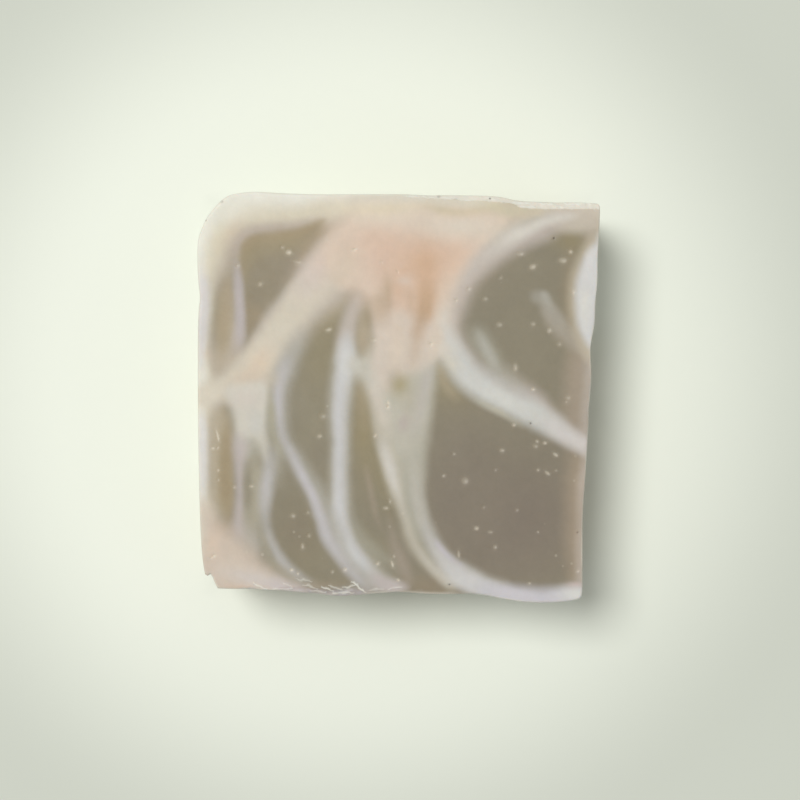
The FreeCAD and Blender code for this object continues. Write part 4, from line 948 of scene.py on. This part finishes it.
# side wall, laid flat: u runs round the outline and v up the wall
foot_calm = 1 - np.exp(-(((LOOP[:, 0] + 33.8) ** 2 + (LOOP[:, 1] + 33.0) ** 2) / 3.0 ** 2))
wall_spots = spots(rng, 60, GIRTH, THICK, 0.28, 0.62)
side = np.arange(1, 48) / 48 * THICK
u_ring = np.concatenate([ARC, [GIRTH]])
low_edge = np.stack([u_ring, 0 * u_ring], 1)
right_edge = np.stack([0 * side + GIRTH, side], 1)
high_edge = np.stack([u_ring, 0 * u_ring + THICK], 1)[::-1]
left_edge = np.stack([0 * side, side], 1)[::-1]
W_border = np.vstack([low_edge, right_edge, high_edge, left_edge])
gu, gv = np.meshgrid(np.arange(0.3, GIRTH - 0.2, 0.52), np.arange(0.33, THICK - 0.2, 0.45))
gu = gu + (np.arange(gu.shape[0]) % 2)[:, None] * 0.26
W_grid = np.stack([gu.ravel(), gv.ravel()], 1)
W_grid = W_grid[(W_grid[:, 0] > 0.25) & (W_grid[:, 0] < GIRTH - 0.25) & (W_grid[:, 1] < THICK - 0.25)]
for x, y, r, tone in wall_spots:
    W_grid = W_grid[(W_grid[:, 0] - x) ** 2 + (W_grid[:, 1] - y) ** 2 > (r * 1.3 + 0.2) ** 2]
W = np.vstack([W_border, thin(np.vstack([spot_rings(wall_spots), W_grid]), 0.06)])
W_F = triangulate(W_border, W[len(W_border):], 0.06)
wu, wv = W[:, 0], W[:, 1]


def round_loop(values, u):
    """Values given at the outline's points, read off at any distance round it."""
    ext = np.concatenate([values, values[:1]])
    return np.interp(u, u_ring, ext)


top_z = up_z[:NL]
wz = FOOT + (wv / THICK) * (round_loop(top_z, wu) - FOOT)
bx, by = round_loop(LOOP[:, 0], wu), round_loop(LOOP[:, 1], wu)
nx, ny = round_loop(INWARD[:, 0], wu), round_loop(INWARD[:, 1], wu)
nn = np.hypot(nx, ny)
nx, ny = nx / nn, ny / nn
dent, wall_pale = spot_dents(wu, wv, wall_spots)
inset = (wall_relief(bx, by, wz, wu) + dent) * round_loop(foot_calm, wu)
inset = np.where(wv >= THICK - 1e-9, 0, inset)
wx, wy = bx + nx * inset, by + ny * inset

# underside
foot_inset = wall_relief(LOOP[:, 0], LOOP[:, 1], 0 * ARC + FOOT, ARC) * foot_calm
UNDER_LOOP = LOOP + INWARD * foot_inset[:, None]
under_spots = [(x + LOOP[:, 0].min(), y + LOOP[:, 1].min(), r, t) for x, y, r, t in spots(rng, 64, np.ptp(LOOP[:, 0]), np.ptp(LOOP[:, 1]), 0.25, 0.6)]
sd, _ = to_loop(np.array([(x, y) for x, y, r, t in under_spots]), UNDER_LOOP)
under_spots = [s for s, q in zip(under_spots, sd) if q > 1.5]
under_grid = hexgrid(0.66)
gd, _ = to_loop(under_grid, UNDER_LOOP)
under_grid = under_grid[gd > 0.75]
for x, y, r, tone in under_spots:
    under_grid = under_grid[(under_grid[:, 0] - x) ** 2 + (under_grid[:, 1] - y) ** 2 > (r * 1.3 + 0.25) ** 2]
UN = np.vstack([UNDER_LOOP, thin(np.vstack([spot_rings(under_spots), rim_rings(UNDER_LOOP, (0.06, 0.17, 0.34)), under_grid]), 0.07)])
un_d, un_arc = to_loop(UN, UNDER_LOOP)
un_d[:NL] = 0.0
e = np.clip(un_d, 0, FOOT)
dent, under_pale = spot_dents(UN[:, 0], UN[:, 1], under_spots)
flat = smooth((un_d - FOOT) / 2.0)
un_z = (FOOT - np.sqrt(np.maximum(FOOT ** 2 - (FOOT - e) ** 2, 0))) + dent + flat * 0.03 * (1 + noise(UN[:, 0], UN[:, 1], 0 * un_d, 16.0, 61))
un_z = np.maximum(un_z, 0)
un_F = upward(UN, triangulate(UN[:NL], UN[NL:], 0.07), up=False)

# ---- one closed mesh out of the three ----------------------------------------------------------------------
n_up, n_un = len(UP), len(UN)
wall_index = np.full(len(W), -1)
wall_index[:NL + 1] = n_up + np.concatenate([np.arange(NL), [0]])                      # lower edge: underside's rim
high_at = NL + 1 + len(side)
wall_index[high_at:high_at + NL + 1] = np.concatenate([np.arange(NL), [0]])[::-1]      # upper edge: upper face's rim
left_at = high_at + NL + 1
own = np.full(len(W), -1)
free = np.ones(len(W), bool)
free[:NL + 1] = False
free[high_at:high_at + NL + 1] = False
free[left_at:left_at + len(side)] = False                                              # the seam's second side
wall_index[free] = n_up + n_un + np.arange(int(free.sum()))
wall_index[left_at:left_at + len(side)] = wall_index[NL + 1:NL + 1 + len(side)][::-1]
kept = np.nonzero(free)[0]

co = np.vstack([
    np.column_stack([UP, up_z]),
    np.column_stack([UN, un_z]),
    np.column_stack([wx[kept], wy[kept], wz[kept]])])
co[:, 0] = np.clip(co[:, 0], -36.2795, 36.2755)
co[:, 1] = np.clip(co[:, 1], -37.0215, 37.0195)
# anticlockwise round the outline and upwards is outwards
turn = (W[W_F[:, 1], 0] - W[W_F[:, 0], 0]) * (W[W_F[:, 2], 1] - W[W_F[:, 0], 1]) - (W[W_F[:, 1], 1] - W[W_F[:, 0], 1]) * (W[W_F[:, 2], 0] - W[W_F[:, 0], 0])
W_F[turn < 0] = W_F[turn < 0][:, ::-1]
faces = np.vstack([up_F, un_F + n_up, wall_index[W_F]])

# ---- where each face lies on the bake's map -----------------------------------------------------------------
lowx, lowy = LOOP.min(0)
scale_up, scale_un, scale_w = 0.625 / 74.2, 0.335 / 74.2, 0.0065
uv_up = np.column_stack([0.008 + (UP[:, 0] - lowx) * scale_up, 0.365 + (UP[:, 1] - lowy) * scale_up])
uv_un = np.column_stack([0.655 + (UN[:, 0] - lowx) * scale_un, 0.650 + (UN[:, 1] - lowy) * scale_un])
quarter = GIRTH / 4
mid_u = W[W_F][:, :, 0].mean(1)
strip = np.clip((mid_u // quarter).astype(int), 0, 3)
left_of = np.array([0.008, 0.500, 0.008, 0.500])[strip]
base_of = np.array([0.008, 0.008, 0.182, 0.182])[strip]
uv_w = np.stack([left_of[:, None] + (W[W_F][:, :, 0] - strip[:, None] * quarter) * scale_w,
                 base_of[:, None] + W[W_F][:, :, 1] * scale_w], 2)
uv = np.concatenate([uv_up[up_F].reshape(-1, 2), uv_un[un_F].reshape(-1, 2), uv_w.reshape(-1, 2)])

# ---- colour shares ---------------------------------------------------------------------------------------------
all_d = np.concatenate([up_d, un_d, inset[kept]])
near_arc = np.concatenate([up_arc, un_arc, wu[kept]])
all_nx, all_ny = round_loop(INWARD[:, 0], near_arc), round_loop(INWARD[:, 1], near_arc)
all_torn = np.concatenate([up_torn, np.zeros(n_un + len(kept))])
all_pale = np.concatenate([up_pale, under_pale, wall_pale[kept]])
all_dark = np.concatenate([up_dark, np.zeros(n_un + len(kept))])
depth = THICK - co[:, 2]
depth[:n_up] = 0.0
all_flake_glint = np.concatenate([up_flake_glint, np.zeros(n_un + len(kept))])
swirl = marbling_at(co[:, 0], co[:, 1], depth, all_d, all_nx, all_ny, all_torn, all_flake_glint)

mesh = bpy.data.meshes.new("soap")
mesh.vertices.add(len(co))
mesh.vertices.foreach_set("co", (co * MM).astype(np.float32).ravel())
mesh.loops.add(len(faces) * 3)
mesh.loops.foreach_set("vertex_index", faces.astype(np.int32).ravel())
mesh.polygons.add(len(faces))
mesh.polygons.foreach_set("loop_start", np.arange(0, len(faces) * 3, 3, dtype=np.int32))
mesh.update(calc_edges=True)
bad = mesh.validate(verbose=False)
if bad:
    raise RuntimeError("the soap's mesh had faults")
mesh.shade_smooth()
mesh.set_sharp_from_angle(angle=math.radians(42))
layer = mesh.uv_layers.new(name="OFBake")
layer.uv.foreach_set("vector", uv.astype(np.float32).ravel())
for k in range(0, len(NAMES), 3):
    a = mesh.attributes.new("swirl_" + "abcd"[k // 3], "FLOAT_COLOR", "POINT")
    four = np.ones((len(co), 4), np.float32)
    four[:, :3] = swirl[:, k:k + 3]
    a.data.foreach_set("color", four.ravel())
# the bubble attribute holds the painted glints on bubbles, the pit attribute the painted shade in pits
for name, values in (("bubble_glint", all_pale), ("pit_shade", all_dark), ("torn", all_torn)):
    a = mesh.attributes.new(name, "FLOAT", "POINT")
    a.data.foreach_set("value", values.astype(np.float32))
soap = bpy.data.objects.new("soap", mesh)
bpy.context.scene.collection.objects.link(soap)


# ---- the soap's material -----------------------------------------------------------------------------------------
def linear(c):
    return tuple((v / 255 / 12.92) if v <= 10.3 else ((v / 255 + 0.055) / 1.055) ** 2.4 for v in c)


def soap_material():
    mat = bpy.data.materials.new("marbled_soap")
    mat.use_nodes = True
    nt = mat.node_tree
    nt.nodes.clear()
    N = nt.nodes.new
    L = nt.links.new
    out = N("ShaderNodeOutputMaterial")
    bsdf = N("ShaderNodeBsdfPrincipled")
    L(bsdf.outputs["BSDF"], out.inputs["Surface"])

    def math_node(op, a, b=None, clamp=False):
        n = N("ShaderNodeMath")
        n.operation = op
        n.use_clamp = clamp
        for i, v in enumerate((a, b)):
            if v is None:
                continue
            if isinstance(v, (int, float)):
                n.inputs[i].default_value = v
            else:
                L(v, n.inputs[i])
        return n.outputs[0]

    def vec(op, a, b=None, scale=None):
        n = N("ShaderNodeVectorMath")
        n.operation = op
        for i, v in enumerate((a, b)):
            if v is None:
                continue
            if isinstance(v, tuple):
                n.inputs[i].default_value = v
            else:
                L(v, n.inputs[i])
        if scale is not None:
            if isinstance(scale, (int, float)):
                n.inputs["Scale"].default_value = scale
            else:
                L(scale, n.inputs["Scale"])
        return n.outputs[0]

    def attribute(name):
        n = N("ShaderNodeAttribute")
        n.attribute_name = name
        return n

    def texture(scale, detail, rough, stretch=(1, 1, 1), distortion=0.0):
        m = N("ShaderNodeMapping")
        L(coords.outputs["Object"], m.inputs["Vector"])
        m.inputs["Scale"].default_value = stretch
        n = N("ShaderNodeTexNoise")
        n.inputs["Scale"].default_value = scale
        n.inputs["Detail"].default_value = detail
        n.inputs["Roughness"].default_value = rough
        n.inputs["Distortion"].default_value = distortion
        L(m.outputs["Vector"], n.inputs["Vector"])
        return n.outputs["Fac"]

    def ranged(value, a, b, c, d, smoothly=True):
        n = N("ShaderNodeMapRange")
        n.interpolation_type = "SMOOTHSTEP" if smoothly else "LINEAR"
        for i, v in zip(("Value", "From Min", "From Max", "To Min", "To Max"), (value, a, b, c, d)):
            if isinstance(v, (int, float)):
                n.inputs[i].default_value = v
            else:
                L(v, n.inputs[i])
        return n.outputs["Result"]

    def mixed(fac, a, b, how="MIX"):
        n = N("ShaderNodeMix")
        n.data_type = "RGBA"
        n.blend_type = how
        for sock, v in ((n.inputs[0], fac), (n.inputs[6], a), (n.inputs[7], b)):
            if isinstance(v, (int, float)):
                sock.default_value = v
            elif isinstance(v, tuple):
                sock.default_value = v + (1.0,) if len(v) == 3 else v
            else:
                L(v, sock)
        return n.outputs[2]

    coords = N("ShaderNodeTexCoord")

    # the marbling: each colour of soap times its share here
    total = None
    for k in range(0, len(NAMES), 3):
        a = attribute("swirl_" + "abcd"[k // 3])
        sep = N("ShaderNodeSeparateColor")
        L(a.outputs["Color"], sep.inputs["Color"])
        for j in range(3):
            if k + j >= len(NAMES):
                break
            colour = tuple(v * BASE_GAIN for v in linear(PALETTE[NAMES[k + j]]))
            part = vec("SCALE", colour, scale=sep.outputs[j])
            total = part if total is None else vec("ADD", total, part)

    # cloudy mottling, fine grain, and thin drawn-out streaks
    cloud = texture(95.0, 3.0, 0.55)
    grain = texture(900.0, 4.0, 0.65)
    streak = texture(420.0, 2.0, 0.5, stretch=(1.0, 1.0, 0.12))
    shade = math_node("ADD", ranged(cloud, 0.3, 0.7, 0.975, 1.025), ranged(grain, 0.25, 0.75, -0.022, 0.022))
    shade = math_node("ADD", shade, ranged(streak, 0.3, 0.7, -0.012, 0.012))
    total = vec("SCALE", total, scale=shade)

    # trapped bubbles and specks: those placed on the mesh, pale with a painted glint, their dark pits painted shade,
    # and smaller ones strewn through the soap
    pale = attribute("bubble_glint").outputs["Fac"]
    total = mixed(math_node("MULTIPLY", pale, 0.72), total, tuple(v * BASE_GAIN for v in linear((226, 216, 196))))
    strewn = N("ShaderNodeTexVoronoi")
    strewn.inputs["Scale"].default_value = 330.0
    L(coords.outputs["Object"], strewn.inputs["Vector"])
    tiny = ranged(strewn.outputs["Distance"], 0.06, 0.13, 1.0, 0.0)
    which = texture(60.0, 1.0, 0.5)
    tiny = math_node("MULTIPLY", tiny, ranged(which, 0.52, 0.62, 0.0, 0.30))
    total = mixed(tiny, total, tuple(v * BASE_GAIN for v in linear((205, 196, 176))))
    # painted shade in the dark pits
    pit_shade = attribute("pit_shade").outputs["Fac"]
    total = mixed(math_node("MULTIPLY", pit_shade, 0.85), total, tuple(v * BASE_GAIN for v in linear((84, 76, 64))))
    L(total, bsdf.inputs["Base Color"])

    # waxy surface: a soft sheen, duller where it is torn
    rough = ranged(texture(240.0, 3.0, 0.6), 0.3, 0.7, 0.40, 0.52)
    rough = math_node("ADD", rough, math_node("MULTIPLY", attribute("torn").outputs["Fac"], 0.12))
    L(rough, bsdf.inputs["Roughness"])
    bsdf.inputs["IOR"].default_value = 1.44
    bsdf.inputs["Specular IOR Level"].default_value = 0.42
    bsdf.inputs["Subsurface Weight"].default_value = 0.22
    bsdf.inputs["Subsurface Radius"].default_value = (1.0, 0.72, 0.5)
    bsdf.inputs["Subsurface Scale"].default_value = 0.0009

    height = math_node("ADD", math_node("MULTIPLY", texture(260.0, 3.0, 0.55), 0.6), math_node("MULTIPLY", grain, 0.25))
    height = math_node("ADD", height, math_node("MULTIPLY", tiny, -0.8))
    bump = N("ShaderNodeBump")
    bump.inputs["Strength"].default_value = 0.35
    bump.inputs["Distance"].default_value = 0.00006
    L(height, bump.inputs["Height"])
    L(bump.outputs["Normal"], bsdf.inputs["Normal"])
    return mat


soap.data.materials.append(soap_material())
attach(soap, "root")
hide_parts("soap_bar")


# ---- floor, light and camera -----------------------------------------------------------------------------------------
def floor_material():
    mat = bpy.data.materials.new("pale_surface")
    mat.use_nodes = True
    nt = mat.node_tree
    bsdf = nt.nodes["Principled BSDF"]
    coords = nt.nodes.new("ShaderNodeTexCoord")
    # painted pool of light: the floor is painted lighter near a spot beside the soap and darker further out
    away = nt.nodes.new("ShaderNodeVectorMath")
    away.operation = "DISTANCE"
    away.inputs[1].default_value = (-0.010, 0.004, 0)
    nt.links.new(coords.outputs["Object"], away.inputs[0])
    fall = nt.nodes.new("ShaderNodeMapRange")
    fall.interpolation_type = "SMOOTHSTEP"
    fall.inputs["From Min"].default_value = 0.0535
    fall.inputs["From Max"].default_value = 0.1005
    nt.links.new(away.outputs["Value"], fall.inputs["Value"])
    mix = nt.nodes.new("ShaderNodeMix")
    mix.data_type = "RGBA"
    near, far = linear((240, 244, 231)), linear((208, 212, 200))
    mix.inputs[6].default_value = tuple(v * FLOOR_GAIN for v in near) + (1.0,)
    mix.inputs[7].default_value = tuple(v * FLOOR_GAIN for v in far) + (1.0,)
    nt.links.new(fall.outputs["Result"], mix.inputs[0])
    # painted contact shadow: a little darker close to the soap
    split = nt.nodes.new("ShaderNodeSeparateXYZ")
    nt.links.new(coords.outputs["Object"], split.inputs[0])

    def step(op, a, b):
        n = nt.nodes.new("ShaderNodeMath")
        n.operation = op
        for i, v in enumerate((a, b)):
            if isinstance(v, float):
                n.inputs[i].default_value = v
            elif v is not None:
                nt.links.new(v, n.inputs[i])
        return n.outputs[0]

    across = step("SUBTRACT", step("ABSOLUTE", split.outputs["X"], None), 0.0346)
    along = step("SUBTRACT", step("ABSOLUTE", step("SUBTRACT", split.outputs["Y"], 0.0008), None), 0.0356)
    close = nt.nodes.new("ShaderNodeMapRange")
    close.interpolation_type = "SMOOTHSTEP"
    for name, v in (("From Min", 0.0), ("From Max", 0.0045), ("To Min", 0.953), ("To Max", 1.0)):
        close.inputs[name].default_value = v
    nt.links.new(step("MAXIMUM", across, along), close.inputs["Value"])
    shade = nt.nodes.new("ShaderNodeVectorMath")
    shade.operation = "SCALE"
    nt.links.new(mix.outputs[2], shade.inputs[0])
    nt.links.new(close.outputs["Result"], shade.inputs["Scale"])
    nt.links.new(shade.outputs[0], bsdf.inputs["Base Color"])
    bsdf.inputs["Roughness"].default_value = 0.9
    bsdf.inputs["Specular IOR Level"].default_value = 0.1
    return mat


bpy.ops.mesh.primitive_plane_add(size=6.0, location=(0, 0, 0))
floor = bpy.context.object
floor.name = "floor"
floor.data.materials.append(floor_material())

world = bpy.data.worlds.new("soft_white")
world.use_nodes = True
world.node_tree.nodes["Background"].inputs["Color"].default_value = (1.0, 1.0, 0.985, 1.0)
world.node_tree.nodes["Background"].inputs["Strength"].default_value = FILL
bpy.context.scene.world = world


def lamp(name, place, size, power, colour=(1, 1, 1)):
    data = bpy.data.lights.new(name, "AREA")
    data.shape = "DISK"
    data.size = size
    data.energy = power
    data.color = colour
    o = bpy.data.objects.new(name, data)
    o.location = place
    o.rotation_euler = (Vector((0, 0, 0.01)) - Vector(place)).to_track_quat("-Z", "Y").to_euler()
    bpy.context.scene.collection.objects.link(o)


lamp("key", (-1.45, 1.08, 4.2), 2.0, KEY)

camera = bpy.data.cameras.new("camera")
camera.lens = 85.0
camera.sensor_width = 36.0
camera.clip_start = 0.01
camera.clip_end = 20.0
eye = bpy.data.objects.new("camera", camera)
eye.location = (0.229 * MM, -0.498 * MM, (THICK + 340.0) * MM)
eye.rotation_euler = (0, 0, 0)
bpy.context.scene.collection.objects.link(eye)
bpy.context.scene.camera = eye
bpy.context.scene.view_settings.view_transform = "Standard"
